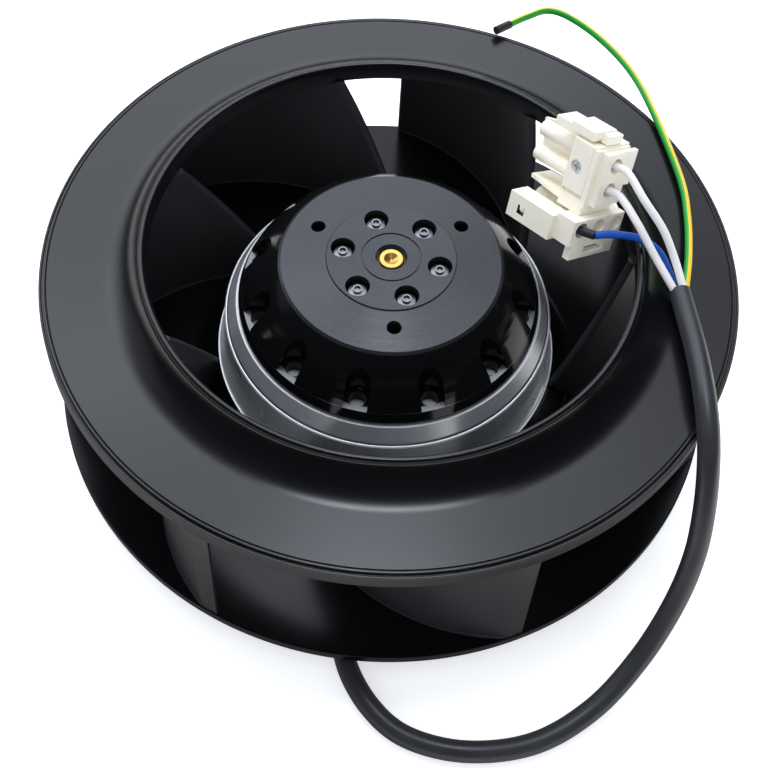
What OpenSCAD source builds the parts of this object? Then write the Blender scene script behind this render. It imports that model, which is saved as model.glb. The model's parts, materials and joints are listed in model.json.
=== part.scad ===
// Backward-curved plug fan with an external-rotor motor, its supply cable and its two connectors.
// Millimetres. The origin is the centre of the mounting face, and +Z points to the air inlet.

/* [Impeller] */
// Outer diameter of the impeller
impeller_d = 225; // [210:1:250]
// Diameter of the inlet throat
throat_d = 156.4; // [150:0.2:164]
// Clear height of the outlet at the rim
outlet_h = 51; // [44:0.5:60]
// Height of the back plate above the mounting face
plate_clear = 11; // [10:0.5:13]
// Thickness of the back plate
plate_t = 2.5; // [2:0.1:3.5]
// Depth of the lip under the back plate's edge
plate_lip_h = 1.2; // [0.6:0.1:1.6]
// Radial width of the lip under the back plate's edge
plate_lip_w = 2; // [1.2:0.1:4]
// Wall of the inlet shroud
shroud_t = 2.2; // [1.6:0.1:3]
// Height of the shroud's rim
rim_h = 5.5; // [4.5:0.1:8]
// Wall of the shroud's rim
rim_t = 2; // [1.4:0.1:2.6]
// Width of the ledge behind the rim
ledge_w = 3; // [2.8:0.1:5]
// Height of the step from the ledge to the cone
step_h = 1.2; // [0.6:0.1:2]
// Width of the bead on the rim
bead_w = 0.8; // [0.5:0.1:1.2]
// Height of the bead on the rim
bead_h = 0.5; // [0.3:0.1:1]
// Rise of the shroud's cone
cone_rise = 1.3; // [0.6:0.1:4]
// Radial width of the inlet bell
bell_w = 14.8; // [12:0.2:18]
// Steepest slope of the inlet bell in degrees
bell_slope = 58; // [45:1:68]
// Thickness of the inlet lip
lip_w = 2.4; // [1.8:0.1:3]
// Height of the throat's straight wall
collar_h = 5.5; // [4:0.1:7]

/* [Blades] */
// Thickness of a blade
blade_t = 3; // [2:0.1:4]
// Radius of a blade's curve in plan
blade_curve_r = 68; // [60:1:80]
// Angle of a blade to the rim at the outlet, in degrees
outlet_angle = 17; // [12:0.5:24]
// Distance of the trailing edges inside the rim
trail_inset = 0.5; // [0.2:0.1:1.5]
// Reach of the leading edges into the throat
lead_inset = 1; // [0.5:0.1:4]
// Direction of the first trailing edge in degrees
blade_phase = 91.3; // [0:0.1:360]

/* [Hub] */
// Height of the hub cone above the back plate
hub_h = 12.5; // [8:0.5:16]
// Width of the hub's top face
hub_top_w = 2.6; // [2:0.1:4]
// Radial spread of the hub cone
hub_spread = 7.4; // [4:0.2:9]
// Wall of the hub cone and its sleeve
hub_wall = 2.2; // [1.6:0.1:3]
// Height of the zinc ring above its flange
ring_h = 18; // [14:0.5:22]
// Depth of the zinc ring below its flange
ring_seat_h = 12; // [9:0.5:14]
// Wall of the zinc ring
ring_t = 1.3; // [1.1:0.1:2]
// Inward draw of the zinc ring at its top edge
ring_draw = 0.6; // [0.2:0.1:0.8]
// Width of the zinc ring's flange
ring_flange_w = 2.4; // [1.2:0.1:2.5]
// Thickness of the zinc ring's flange
ring_flange_t = 1.2; // [0.8:0.1:2]
// Height of the concave flare between the zinc ring's flange and its wall
ring_flare_h = 7.6; // [5:0.1:9]
// Diameter of the balancing holes in the zinc ring
ring_hole_d = 2.6; // [1.5:0.1:4]
// Height of the balancing holes above the flange
ring_hole_h = 10; // [6:0.5:13]

/* [Rotor] */
// Wall of the steel rotor core
core_wall = 12.6; // [10:0.2:15]
// Height of the steel rotor core
core_h = 33; // [30:0.5:36]
// Height of the rotor core above the flange disc
core_clear = 3; // [1.5:0.1:5]
// Depth of the bevel on the rotor core's top edge
core_bevel_h = 5; // [3:0.1:7]
// Width of the bevel on the rotor core's top edge
core_bevel_w = 2.7; // [1.5:0.1:3.4]
// Height of the rotor cap
cap_h = 22.2; // [20:0.2:26]
// Thickness of the rotor cap's roof
cap_roof = 6.5; // [5:0.1:8]
// Inset of the cap's skirt from the rotor core
skirt_inset = 4.1; // [3.6:0.1:5]
// Bevel under the cap's skirt
skirt_bevel = 1.4; // [0.8:0.1:2]
// Diameter of the turned disc on the cap
disc_d = 73; // [66:0.5:76]
// Drop of the turned disc towards its edge
disc_drop = 2; // [1.2:0.1:3]
// Bulge of the cap's shoulder
shoulder_bulge = 1.5; // [0.5:0.1:2.5]
// Diameter of the raised middle of the disc
middle_d = 42.4; // [41:0.2:46]
// Height of the raised middle of the disc
middle_h = 0.5; // [0.3:0.1:0.9]
// Diameter of the fine groove round the shaft
groove_d = 19.2; // [14:0.2:21]
// Width of the fine groove
groove_w = 0.6; // [0.3:0.1:1]
// Diameter of the countersink round the shaft end
recess_d = 10.4; // [9.4:0.1:12]
// Radius of a shoulder pocket
pocket_r = 4; // [3:0.1:4.6]
// Distance of a pocket's centre inside the skirt
pocket_inset = 5.7; // [5:0.1:7]
// Height of a pocket's floor above the rotor core
pocket_floor = 4.5; // [3:0.1:6]
// Diameter of the hole in a pocket's floor
pocket_hole_d = 5.6; // [3:0.1:6]
// Direction of the first pocket in degrees
pocket_phase = 20; // [0:1:30]
// Diameter of the three through holes in the disc
disc_hole_d = 4.8; // [3:0.1:6]
// Radius of the circle of the three through holes
disc_hole_r = 27; // [26:0.1:29]
// Direction of the first through hole in degrees
disc_hole_phase = 35; // [0:1:120]
// Diameter of a rivet's counterbore
rivet_bore_d = 8; // [7:0.1:9]
// Depth of a rivet's counterbore
rivet_bore_h = 3.5; // [3:0.1:4]
// Radius of the circle of the rivets
rivet_circle_r = 16; // [15:0.1:16.4]
// Direction of the first rivet in degrees
rivet_phase = 51; // [0:1:60]
// Diameter of a rivet's shank
rivet_d = 4; // [3:0.1:4.6]
// Diameter of a rivet's collar
rivet_head_d = 5.8; // [5.2:0.1:6.4]
// Diameter of a rivet's tip
rivet_tip_d = 3.1; // [2:0.1:3.6]
// Thickness of the shaft hub's disc
shaft_hub_t = 3; // [2:0.1:3.6]

/* [Shaft and bearings] */
// Diameter of the shaft
shaft_d = 8; // [7:0.1:8.4]
// Outside diameter of a bearing
bearing_od = 22; // [21.4:0.1:24]
// Width of a bearing
bearing_w = 7; // [6:0.1:8]
// Diameter of a bearing ball
ball_d = 3.9; // [3:0.1:4]
// Height of the upper bearing's lower face
bearing_upper_z = 50; // [48:0.1:50.6]
// Height of the lower bearing's lower face
bearing_lower_z = 14; // [12:0.1:16]
// Thickness of the preload washer
washer_t = 0.6; // [0.4:0.1:1]
// Thickness of the shaft's retaining ring
circlip_t = 0.9; // [0.6:0.1:1.2]
// Length of the brass plug in the shaft's end
plug_h = 2; // [1.5:0.1:3]

/* [Stator] */
// Diameter of the mounting boss
boss_d = 68; // [64:0.5:69]
// Height of the mounting boss
boss_h = 10; // [9.4:0.1:11]
// Diameter of the stator flange's disc
flange_d = 100; // [96:0.5:104]
// Thickness of the stator flange's disc
flange_t = 5; // [4:0.1:6]
// Wall of the bearing tube
tube_t = 3.5; // [2.5:0.1:4.5]
// Diameter of the circle of the mounting holes
bolt_circle_d = 54; // [46:0.5:56]
// Diameter of a mounting hole, tapped for an M4 screw
bolt_hole_d = 3.3; // [2.5:0.1:4.2]
// Depth of a mounting hole
bolt_hole_h = 8; // [6:0.1:9]
// Thickness of the dust cap
dust_cap_t = 1.5; // [1:0.1:2]
// Diameter of the stator core
stator_d = 82; // [78:0.5:86]
// Height of the stator core
stator_h = 22; // [18:0.5:23]
// Height of the stator core's lower face
stator_z = 24.5; // [24:0.1:26]
// Air gap between the stator and the rotor
air_gap = 0.5; // [0.3:0.05:0.8]
// Width of a stator slot
slot_w = 6; // [4:0.1:6.4]
// Width of a stator slot's mouth
slot_mouth_w = 2.4; // [1.5:0.1:3]
// Thickness of an end insulator
insulator_t = 1; // [0.6:0.1:1.6]
// Height of the winding beyond the insulator
winding_h = 6.5; // [5:0.1:7]
// Wall of the cable gland
gland_t = 1.3; // [1:0.1:1.5]
// Length of the cable gland's body
gland_l = 14; // [10:0.5:15]
// Length of the strain relief that tapers off the gland
relief_l = 20; // [16:0.5:24]

/* [Cable and wires] */
// Diameter of the cable's jacket
cable_d = 7; // [6:0.1:7.2]
// Diameter of the white and blue wires
wire_d = 2.5; // [2:0.1:2.8]
// Diameter of the earth wire
earth_d = 2.5; // [1.8:0.1:2.6]
// Diameter of the sleeve on the blue wire
sleeve_d = 2.9; // [2.2:0.1:3.4]
// Diameter of the ferrule on the earth wire
ferrule_d = 3; // [2.6:0.1:3.4]

/* [Connectors] */
// Distance between the poles of a connector
pole_pitch = 8.4; // [8:0.1:8.6]
// Diameter of a wire hole
wire_hole_d = 5.2; // [4.4:0.1:5.6]
// Diameter of a mating prong
prong_d = 5.4; // [4:0.1:6]
// Length of the mating prongs
prong_l = 17; // [12:0.5:18]
// Diameter of the terminal screw
terminal_screw_d = 4.2; // [3:0.1:4.8]
// Size of the keyed box's square window
key_window = 3.2; // [2:0.1:4.5]

/* [Hidden] */
$fn = 96;

// Clearance between pieces of one body that seat on each other
fit = 0.05;
// Running clearance of a bearing ball in its raceways
ball_clear = 0.08;
// Overshoot of a cutting tool
cut = 1;
// Number of blades
blade_n = 7;
// Number of slots in the stator
slot_n = 12;
// Number of pockets in the rotor cap
pocket_n = 12;
// Number of rivets in the shaft hub
rivet_n = 6;
// Number of balls in a bearing
ball_n = 7;
// Number of mounting holes and the direction of the first
bolt_n = 4;
bolt_phase = 45;
// Straight segments in a curved profile
profile_steps = 12;

// Heights and radii of the back plate and the shroud
r_out = impeller_d / 2;
throat_r = throat_d / 2;
plate_z1 = plate_clear + plate_t;
rim_z0 = plate_z1 + outlet_h;
rim_z1 = rim_z0 + rim_h;
rim_in_r = r_out - rim_t;
ledge_z = rim_z1 - bead_h;
cone_r = r_out - ledge_w;
cone_z = ledge_z + step_h;
kink_r = throat_r + bell_w;
kink_z = cone_z + cone_rise;
cone_slope = atan(cone_rise / (cone_r - kink_r));
bell_r = (bell_w - lip_w) / (sin(bell_slope) - sin(cone_slope));
lip_z = kink_z + bell_r * (cos(cone_slope) - cos(bell_slope));
collar_z = lip_z - collar_h;

// Radii of the motor, from the shaft outwards
shaft_r = shaft_d / 2;
bearing_r = bearing_od / 2;
tube_r = bearing_r + tube_t;
stator_r = stator_d / 2;
core_bore_r = stator_r + air_gap;
core_r = core_bore_r + core_wall;
ring_in_r = core_r + fit;
ring_r = ring_in_r + ring_t;
hub_bore_r = ring_r + fit;
hub_top_r = hub_bore_r + hub_top_w;
hub_foot_r = hub_top_r + hub_spread;
skirt_r = core_r - skirt_inset;
disc_r = disc_d / 2;
middle_r = middle_d / 2;

// Heights of the motor, from the mounting face upwards
flange_z1 = boss_h + flange_t;
core_z0 = flange_z1 + core_clear;
core_z1 = core_z0 + core_h;
cap_z0 = core_z1 + fit;
cap_z1 = cap_z0 + cap_h;
roof_z = cap_z1 - cap_roof;
disc_z = cap_z1 - disc_drop;
hub_z1 = plate_z1 + hub_h;
ring_z0 = hub_z1 + fit;
ring_z1 = ring_z0 + ring_flange_t + ring_h;
bearing_upper_z1 = bearing_upper_z + bearing_w;
tube_z1 = bearing_upper_z1 + 0.5;
rivet_seat_z = cap_z1 - rivet_bore_h;
shaft_hub_z1 = roof_z - fit;
shaft_hub_z0 = shaft_hub_z1 - shaft_hub_t;
shaft_hub_r = rivet_circle_r + rivet_d / 2 + 3;
plug_z1 = cap_z1 - 0.8;
plug_z0 = plug_z1 - plug_h;

// Small steps, bevels and grooves of the turned pieces
ring_bevel = 0.4;
ring_foot_w = 0.4;
ring_hole_phase = -31;
core_relief = 0.5;
core_relief_h = 4;
recess_h = 1.2;
groove_h = 0.4;
middle_bevel = 0.25;
disc_edge_w = 0.8;
disc_edge_h = 0.5;
skirt_bevel_w = 1;
pocket_sole = 1;
roof_inset = 6;
clip_groove = 0.5;
flange_bevel = 0.6;

// Rings of a bearing
pitch_r = (shaft_r + bearing_r) / 2;
race_half = ball_d * 0.36;
race_r = ball_d / 2 + ball_clear;
cage_low = ball_d * 0.25;
cage_web = 0.5;
cage_half_t = race_half - 0.5;

// Winding spaces of the stator
slot_r0 = tube_r + 7;
slot_r1 = stator_r - 4;
upper_insulator_z = stator_z + stator_h + fit;
lower_insulator_z = stator_z - insulator_t - fit;

// Place of the cable gland, the depth of its closed end and the wall at the strain relief's tip
gland_x = -4;
gland_r = cable_d / 2 + fit + gland_t;
gland_y1 = -boss_d / 2 - 1;
gland_y0 = gland_y1 - gland_l;
gland_z = gland_r + 0.3;
gland_end_t = 6;
relief_y = gland_y0 - relief_l;
relief_tip_t = 0.6;

// Pose of the connector pair: the terminal screw's place, then turns about X, Y and Z
pair_place = [56, 20.6, 99];
pair_turn = [-14, 22, 38];

// Connector sizes in the pair's own axes: X across the row of poles, Y towards the prongs, Z up
wire_face_y = -9.3;
terminal_y = -4;
upper_pole_x = 8;
upper_pole_z = 3.3;
lower_pole_x = -0.3;
lower_pole_z = -18;
terminal_l = 6;
terminal_lead = 5;
prong_y = 4;
prong_x = upper_pole_x - 1.8;
upper_poles = [upper_pole_z, upper_pole_z - pole_pitch];
lower_poles = [for (k = [0:2]) lower_pole_x + k * pole_pitch];
hole_wall = 0.5;
socket_d = 7.4;
socket_bore_d = 5;
socket_z = -19.7;
socket_y = 17;
key_place = [-6, 11.6, -20.2];

// Blocks of the upper connector, each from one corner to the other
upper_panel = [[0, -5, -7.8], [2, 3.4, 8.7]];
upper_body = [[0.7, -6, -14.4], [15.5, 4, 9]];
upper_step = [[0.2, wire_face_y + 2.4, -11.5], [15.5, -5, 8.2]];
upper_face = [[2.5, wire_face_y, -10.5], [14, -6, 7.6]];
upper_flange = [[9.5, wire_face_y, -4], [16.6, wire_face_y + 1.6, 8]];
hook_post = [[2, -2, 8.5], [10, 4, 10.6]];
hook_plate = [[0.5, -3.5, 10.2], [10.5, 6.4, 13]];
hook_tail = [[0.5, 6, 10.2], [9.5, 13, 12]];
hook_lug = [[4.5, -6.2, 9.4], [11, -3.2, 12.4]];
upper_window = [[-1, -5.1, -9.4], [1.5, 3.6, -7.8]];
upper_blocks = [upper_panel, upper_body, upper_step, upper_face, upper_flange,
                hook_post, hook_plate, hook_tail, hook_lug];

// Outlines of the upper connector's two thin guides, along Y and Z and along X and Y
side_guide = [[3, -10], [3, 8.7], [27, 3.4], [25, -6]];
side_guide_x = 12.4;
low_guide = [[1.5, 3], [14, 3], [12.5, 19], [4, 19.6]];
low_guide_z = -13.4;
guide_t = 1.3;

// Blocks of the lower connector, each from one corner to the other
lower_face = [[-4.4, wire_face_y, -23.3], [lower_poles[2] + wire_hole_d / 2 + hole_wall, -1.8, -14.5]];
lower_key = [[-6.7, -1.8, -24], [0.8, 17.3, -15.4]];
lower_body = [[0.5, -2, -23], [18.2, 12, -17]];
lower_foot = [[-2.8, wire_face_y, -28.4], [17.8, wire_face_y + 2.6, -23.2]];
lower_slot = [[3.5, wire_face_y - cut, -26.8], [13, wire_face_y + 4, -24.4]];
lower_blocks = [lower_face, lower_key, lower_body, lower_foot];

// Route points of the cords, in the fan's axes
cable_route = [[gland_x, gland_y1 - gland_end_t, gland_z], [gland_x, relief_y, gland_z],
               [gland_x, relief_y - 8, gland_z], [-7.2, -95, 4], [-5.9, -110.1, 3.8], [2.6, -124.6, 3.7],
               [15, -134, 3.7], [34, -137.3, 3.7], [55, -133, 3.7], [73, -121.3, 5.8], [86.5, -106.9, 13.5],
               [95.2, -94.3, 27.3], [99.3, -84.3, 42.2], [100, -74.6, 56.8], [99, -63.6, 70],
               [97.6, -50.5, 76.2], [95.6, -31.5, 77.1], [91.8, -8.8, 76.6]];
cable_end = cable_route[len(cable_route) - 1];
white_1_route = concat(pole_lead(upper_pole_x, upper_pole_z),
                       [[77.2, 9.2, 98.6], [84.1, 3.3, 92], [89, -1.8, 84.2], core_start(0.7, 1.9)]);
white_2_route = concat(pole_lead(upper_pole_x, upper_pole_z - pole_pitch),
                       [[76.1, 5, 92.1], [82.5, -1.4, 84.8], core_start(-2, 1)]);
sleeve_route = [pole_point(lower_pole_x, terminal_y, lower_pole_z),
                pole_point(lower_pole_x, wire_face_y, lower_pole_z), [63.6, 4.4, 85.6]];
blue_route = [sleeve_route[2], [69.7, 5.6, 85.2], [77.8, 5.8, 83.9], [84.5, 3.4, 81.2], [88.4, -2.4, 78],
              core_start(-0.8, -1.8)];
earth_route = [core_start(1.8, -0.8), [95.5, 6, 75.8], [96.5, 24, 74.2], [95, 42, 73.6], [87, 74, 72.4],
               [80, 93, 71.5], [70, 108, 71], [59, 118, 71], [51, 120.5, 71.2], [43.5, 116, 71.8],
               [37, 110.5, 72.6]];
ferrule_route = [earth_route[len(earth_route) - 1], [32, 106, 73.4]];

// Vector helpers for the swept cords
function unit(v) = v / norm(v);
function rotate_point(p, a) =
    let (x = [p[0], p[1] * cos(a[0]) - p[2] * sin(a[0]), p[1] * sin(a[0]) + p[2] * cos(a[0])])
    let (y = [x[0] * cos(a[1]) + x[2] * sin(a[1]), x[1], x[2] * cos(a[1]) - x[0] * sin(a[1])])
    [y[0] * cos(a[2]) - y[1] * sin(a[2]), y[0] * sin(a[2]) + y[1] * cos(a[2]), y[2]];

// A point of the connector pair in the fan's axes
function pole_point(x, y, z) = pair_place + rotate_point([x, y, z], pair_turn);

// The straight run of a wire from its terminal out of its hole
function pole_lead(x, z) =
    [for (y = [terminal_y, wire_face_y, wire_face_y - terminal_lead]) pole_point(x, y, z)];

// Where a core leaves the jacket's end, from its offsets across and up
function core_start(across, up) =
    let (along = unit(cable_end - cable_route[len(cable_route) - 2]), side = unit(cross(along, [0, 0, 1])))
    cable_end + side * across + cross(side, along) * up;

// One point of a smooth curve through p1 and p2
function smooth(p0, p1, p2, p3, t) =
    0.5 * (2 * p1 + (p2 - p0) * t + (2 * p0 - 5 * p1 + 4 * p2 - p3) * t * t
           + (3 * p1 - p0 - 3 * p2 + p3) * t * t * t);

// A route's points with steps points in each stretch
function curve(route, steps) =
    let (last = len(route) - 1)
    concat([for (i = [0:last - 1], k = [0:steps - 1])
               smooth(route[max(i - 1, 0)], route[i], route[i + 1], route[min(i + 2, last)], k / steps)],
           [route[last]]);

// The direction of a curve at each of its points
function headings(points) =
    let (last = len(points) - 1)
    [for (i = [0:last]) unit(points[min(i + 1, last)] - points[max(i - 1, 0)])];

// A side vector carried along the headings without twist
function carried(heads, i) =
    let (before = i == 0 ? (abs(heads[0][2]) < 0.9 ? [0, 0, 1] : [1, 0, 0]) : carried(heads, i - 1))
    unit(before - heads[i] * (before * heads[i]));

// A closed tube of diameter d along a route
module cord(route, d, sides, steps) {
    points = curve(route, steps);
    heads = headings(points);
    rings = len(points);
    vertices = [for (i = [0:rings - 1])
                    let (u = carried(heads, i), v = cross(heads[i], u))
                    for (a = [for (k = [0:sides - 1]) 360 * k / sides])
                        points[i] + d / 2 * (u * cos(a) + v * sin(a))];
    walls = [for (i = [0:rings - 2], k = [0:sides - 1])
                 let (a = i * sides + k, b = i * sides + (k + 1) % sides)
                 for (face = [[a, a + sides, b], [b, a + sides, b + sides]]) face];
    start = [for (k = [0:sides - 1]) k];
    end = [for (k = [sides - 1:-1:0]) (rings - 1) * sides + k];
    polyhedron(vertices, concat([start], walls, [end]));
}

// Copies of the children on a circle
module around(count, phase = 0) {
    for (k = [0:count - 1]) rotate([0, 0, phase + 360 * k / count]) children();
}

// A turned solid from points of radius and height
module turned(points) {
    rotate_extrude() polygon(points);
}

// Rotating impeller

// Points of the bell's outer curve, from the cone up to the lip
bell_curve = [for (i = [0:profile_steps])
                  let (a = cone_slope + (bell_slope - cone_slope) * i / profile_steps)
                  [kink_r - bell_r * (sin(a) - sin(cone_slope)),
                   kink_z + bell_r * (cos(cone_slope) - cos(a))]];
// Points of the lip's half round, from its outer edge to the throat
lip_curve = [for (i = [1:profile_steps])
                 let (a = 180 * i / profile_steps)
                 [throat_r + lip_w / 2 * (1 + cos(a)), lip_z + lip_w / 2 * sin(a)]];
// Points of the shroud's underside, from the throat to the rim
under_curve = [[throat_r, collar_z], [kink_r, kink_z - shroud_t], [cone_r, cone_z - shroud_t],
               [rim_in_r, cone_z - shroud_t]];

module inlet_shroud() {
    color("dimgray")
        turned(concat(under_curve,
                      [[rim_in_r, rim_z0], [r_out, rim_z0], [r_out, rim_z1], [r_out - bead_w, rim_z1],
                       [r_out - bead_w, ledge_z], [cone_r, ledge_z], [cone_r, cone_z]],
                      bell_curve, lip_curve));
}

module back_plate() {
    color("dimgray")
        turned([[hub_bore_r, plate_clear], [hub_bore_r + hub_wall, plate_clear],
                [hub_bore_r + hub_wall, hub_z1 - hub_h / 2], [hub_foot_r - hub_wall, plate_clear],
                [r_out - plate_lip_w, plate_clear], [r_out - plate_lip_w, plate_clear - plate_lip_h],
                [r_out, plate_clear - plate_lip_h], [r_out, plate_z1], [hub_foot_r, plate_z1],
                [hub_top_r, hub_z1], [hub_bore_r, hub_z1]]);
}

// The space between the back plate and the shroud that a blade fills
module blade_space() {
    trail_r = r_out - trail_inset;
    top = [for (i = [3:-1:0]) [under_curve[i][0] - (i == 3 ? fit : 0), under_curve[i][1] - fit]];
    turned(concat([[hub_foot_r + fit, plate_z1 + fit], [trail_r, plate_z1 + fit], [trail_r, rim_z0 - fit],
                   [rim_in_r - fit, rim_z0 - fit]], top,
                  [[throat_r - lead_inset, collar_z - fit], [hub_top_r + fit, hub_z1 + fit]]));
}

// One curved blade, with its trailing edge in the direction angle
module blade(angle) {
    centre = [r_out - blade_curve_r * cos(outlet_angle), blade_curve_r * sin(outlet_angle)];
    color("dimgray") rotate([0, 0, angle]) intersection() {
        blade_space();
        translate([centre[0], centre[1], 0]) difference() {
            cylinder(r = blade_curve_r + blade_t / 2, h = lip_z);
            translate([0, 0, -cut]) cylinder(r = blade_curve_r - blade_t / 2, h = lip_z + 2 * cut);
            translate([-2 * blade_curve_r, 0, -cut])
                cube([4 * blade_curve_r, 2 * blade_curve_r, lip_z + 2 * cut]);
        }
    }
}

module numbered_blade(k) {
    blade(blade_phase + 360 * (k - 1) / blade_n);
}

// Points of the zinc ring's concave flare, from its flange up to its wall
flare_curve = [for (i = [0:profile_steps])
                   let (a = 90 * i / profile_steps)
                   [ring_r + (ring_flange_w - ring_foot_w) * (1 - sin(a)),
                    ring_z0 + ring_flange_t + ring_flare_h * (1 - cos(a))]];

module hub_ring() {
    flange_r = ring_r + ring_flange_w;
    hole_z = ring_z0 + ring_flange_t + ring_hole_h;
    color("lightsteelblue") difference() {
        turned(concat([[ring_in_r, ring_z0 - ring_seat_h], [ring_r, ring_z0 - ring_seat_h], [ring_r, ring_z0],
                       [flange_r, ring_z0], [flange_r, ring_z0 + ring_flange_t]],
                      flare_curve,
                      [[ring_r - ring_draw, ring_z1 - ring_bevel], [ring_r - ring_draw - ring_bevel, ring_z1],
                       [ring_in_r, ring_z1]]));
        around(blade_n, ring_hole_phase) translate([ring_in_r - cut, 0, hole_z]) rotate([0, 90, 0])
            cylinder(d = ring_hole_d, h = ring_t + 2 * cut);
    }
}

module rotor_core() {
    relief_r = core_r - core_relief;
    relief_z = ring_z1 - core_relief_h;
    color("slategray")
        turned([[core_bore_r, core_z0], [core_r, core_z0], [core_r, relief_z],
                [relief_r, relief_z + core_relief], [relief_r, core_z1 - core_bevel_h],
                [relief_r - core_bevel_w, core_z1], [core_bore_r, core_z1]]);
}

// Points of the cap's bulging shoulder, from the disc's edge down to the skirt
function shoulder_curve() =
    let (top = [disc_r, disc_z - disc_edge_h], low = [skirt_r, cap_z0 + skirt_bevel])
    let (run = low - top, out = unit([-run[1], run[0]]))
    [for (i = [0:profile_steps])
        let (t = i / profile_steps) top + run * t + out * 4 * shoulder_bulge * t * (1 - t)];

module rotor_cap() {
    bore_r = shaft_r + fit;
    groove_in_r = (groove_d - groove_w) / 2;
    groove_out_r = (groove_d + groove_w) / 2;
    pocket_c = skirt_r - pocket_inset;
    floor_z = cap_z0 + pocket_floor;
    color([0.06, 0.06, 0.07]) difference() {
        turned(concat(
            [[bore_r, roof_z], [bore_r, cap_z1 - recess_h], [recess_d / 2, cap_z1],
             [groove_in_r, cap_z1], [groove_in_r, cap_z1 - groove_h],
             [groove_out_r, cap_z1 - groove_h], [groove_out_r, cap_z1],
             [middle_r - middle_bevel, cap_z1], [middle_r, cap_z1 - middle_bevel],
             [middle_r, cap_z1 - middle_h], [disc_r - disc_edge_w, disc_z]],
            shoulder_curve(),
            [[skirt_r - skirt_bevel_w, cap_z0], [core_bore_r, cap_z0], [core_bore_r, floor_z - pocket_sole],
             [disc_r - roof_inset, roof_z]]));
        around(pocket_n, pocket_phase) {
            translate([pocket_c, 0, floor_z]) cylinder(r = pocket_r, h = cap_h);
            translate([pocket_c, -pocket_r, floor_z]) cube([2 * pocket_inset, 2 * pocket_r, cap_h]);
            translate([pocket_c, 0, cap_z0 - cut]) cylinder(d = pocket_hole_d, h = pocket_floor + 2 * cut);
        }
        around(3, disc_hole_phase) translate([disc_hole_r, 0, roof_z - cut])
            cylinder(d = disc_hole_d, h = cap_roof + 2 * cut);
        around(rivet_n, rivet_phase) {
            translate([rivet_circle_r, 0, rivet_seat_z]) cylinder(d = rivet_bore_d, h = rivet_bore_h + cut);
            translate([rivet_circle_r, 0, roof_z - cut]) cylinder(d = rivet_d + 2 * fit, h = cap_roof + cut);
        }
    }
}

module shaft_hub() {
    bore_r = shaft_r + fit;
    end_r = shaft_r + 1.8;
    neck_r = end_r + 2;
    neck_z = bearing_upper_z1 + fit;
    color("silver") difference() {
        turned([[bore_r, neck_z], [end_r, neck_z], [end_r, neck_z + 1.4], [neck_r, neck_z + 3],
                [neck_r, shaft_hub_z0], [shaft_hub_r, shaft_hub_z0], [shaft_hub_r, shaft_hub_z1],
                [bore_r, shaft_hub_z1]]);
        around(rivet_n, rivet_phase) translate([rivet_circle_r, 0, shaft_hub_z0 - cut])
            cylinder(d = rivet_d + 2 * fit, h = shaft_hub_t + 2 * cut);
    }
}

module hub_rivets() {
    tail_z = shaft_hub_z0 - fit;
    tail_h = 1.2;
    head_r = rivet_head_d / 2;
    head_z = rivet_seat_z + 1;
    tip_r = rivet_tip_d / 2;
    tip_z = rivet_seat_z + 2.1;
    tip_wall = 0.5;
    tip_dip = 0.8;
    color("dimgray") around(rivet_n, rivet_phase) translate([rivet_circle_r, 0, 0])
        turned([[0, tail_z - tail_h], [head_r, tail_z - tail_h], [head_r, tail_z], [rivet_d / 2, tail_z],
                [rivet_d / 2, rivet_seat_z + fit], [head_r, rivet_seat_z + fit], [head_r, head_z],
                [tip_r, head_z + 0.2], [tip_r, tip_z], [tip_r - tip_wall, tip_z],
                [tip_r - tip_wall - 0.2, tip_z - tip_dip], [0, tip_z - tip_dip]]);
}

module shaft() {
    clip_z = bearing_lower_z - fit;
    foot_z = clip_z - circlip_t - 2.5;
    neck_r = shaft_r - clip_groove;
    color("silver")
        turned([[0, foot_z], [neck_r, foot_z], [shaft_r, foot_z + clip_groove], [shaft_r, clip_z - circlip_t],
                [neck_r, clip_z - circlip_t], [neck_r, clip_z], [shaft_r, clip_z], [shaft_r, plug_z0 - fit],
                [0, plug_z0 - fit]]);
}

module shaft_plug() {
    bevel = 0.3;
    dimple_r = 0.6 * shaft_r;
    dimple_h = 0.6 * plug_h;
    color("goldenrod")
        turned([[0, plug_z0], [shaft_r, plug_z0], [shaft_r, plug_z1 - bevel], [shaft_r - bevel, plug_z1],
                [dimple_r, plug_z1], [0, plug_z1 - dimple_h]]);
}

module retaining_ring() {
    clip_z = bearing_lower_z - 2 * fit;
    clip_z0 = clip_z - circlip_t + 2 * fit;
    in_r = shaft_r - clip_groove + fit;
    out_r = shaft_r + 2;
    color("darkslategray") difference() {
        turned([[in_r, clip_z0], [out_r, clip_z0], [out_r, clip_z], [in_r, clip_z]]);
        translate([0, -1.5, clip_z - 2 * circlip_t]) cube([2 * shaft_r, 3, 3 * circlip_t]);
    }
}

// Bearings

module bearing_inner(z) {
    land_r = pitch_r - race_half;
    color("silver") translate([0, 0, z]) difference() {
        turned([[shaft_r + fit, 0], [land_r, 0], [land_r, bearing_w], [shaft_r + fit, bearing_w]]);
        translate([0, 0, bearing_w / 2]) rotate_extrude() translate([pitch_r, 0]) circle(r = race_r);
    }
}

module bearing_outer(z) {
    land_r = pitch_r + race_half;
    color("silver") translate([0, 0, z]) difference() {
        turned([[land_r, 0], [bearing_r, 0], [bearing_r, bearing_w], [land_r, bearing_w]]);
        translate([0, 0, bearing_w / 2]) rotate_extrude() translate([pitch_r, 0]) circle(r = race_r);
    }
}

module bearing_balls(z) {
    color("gainsboro") around(ball_n) translate([pitch_r, 0, z + bearing_w / 2]) sphere(d = ball_d);
}

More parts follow.
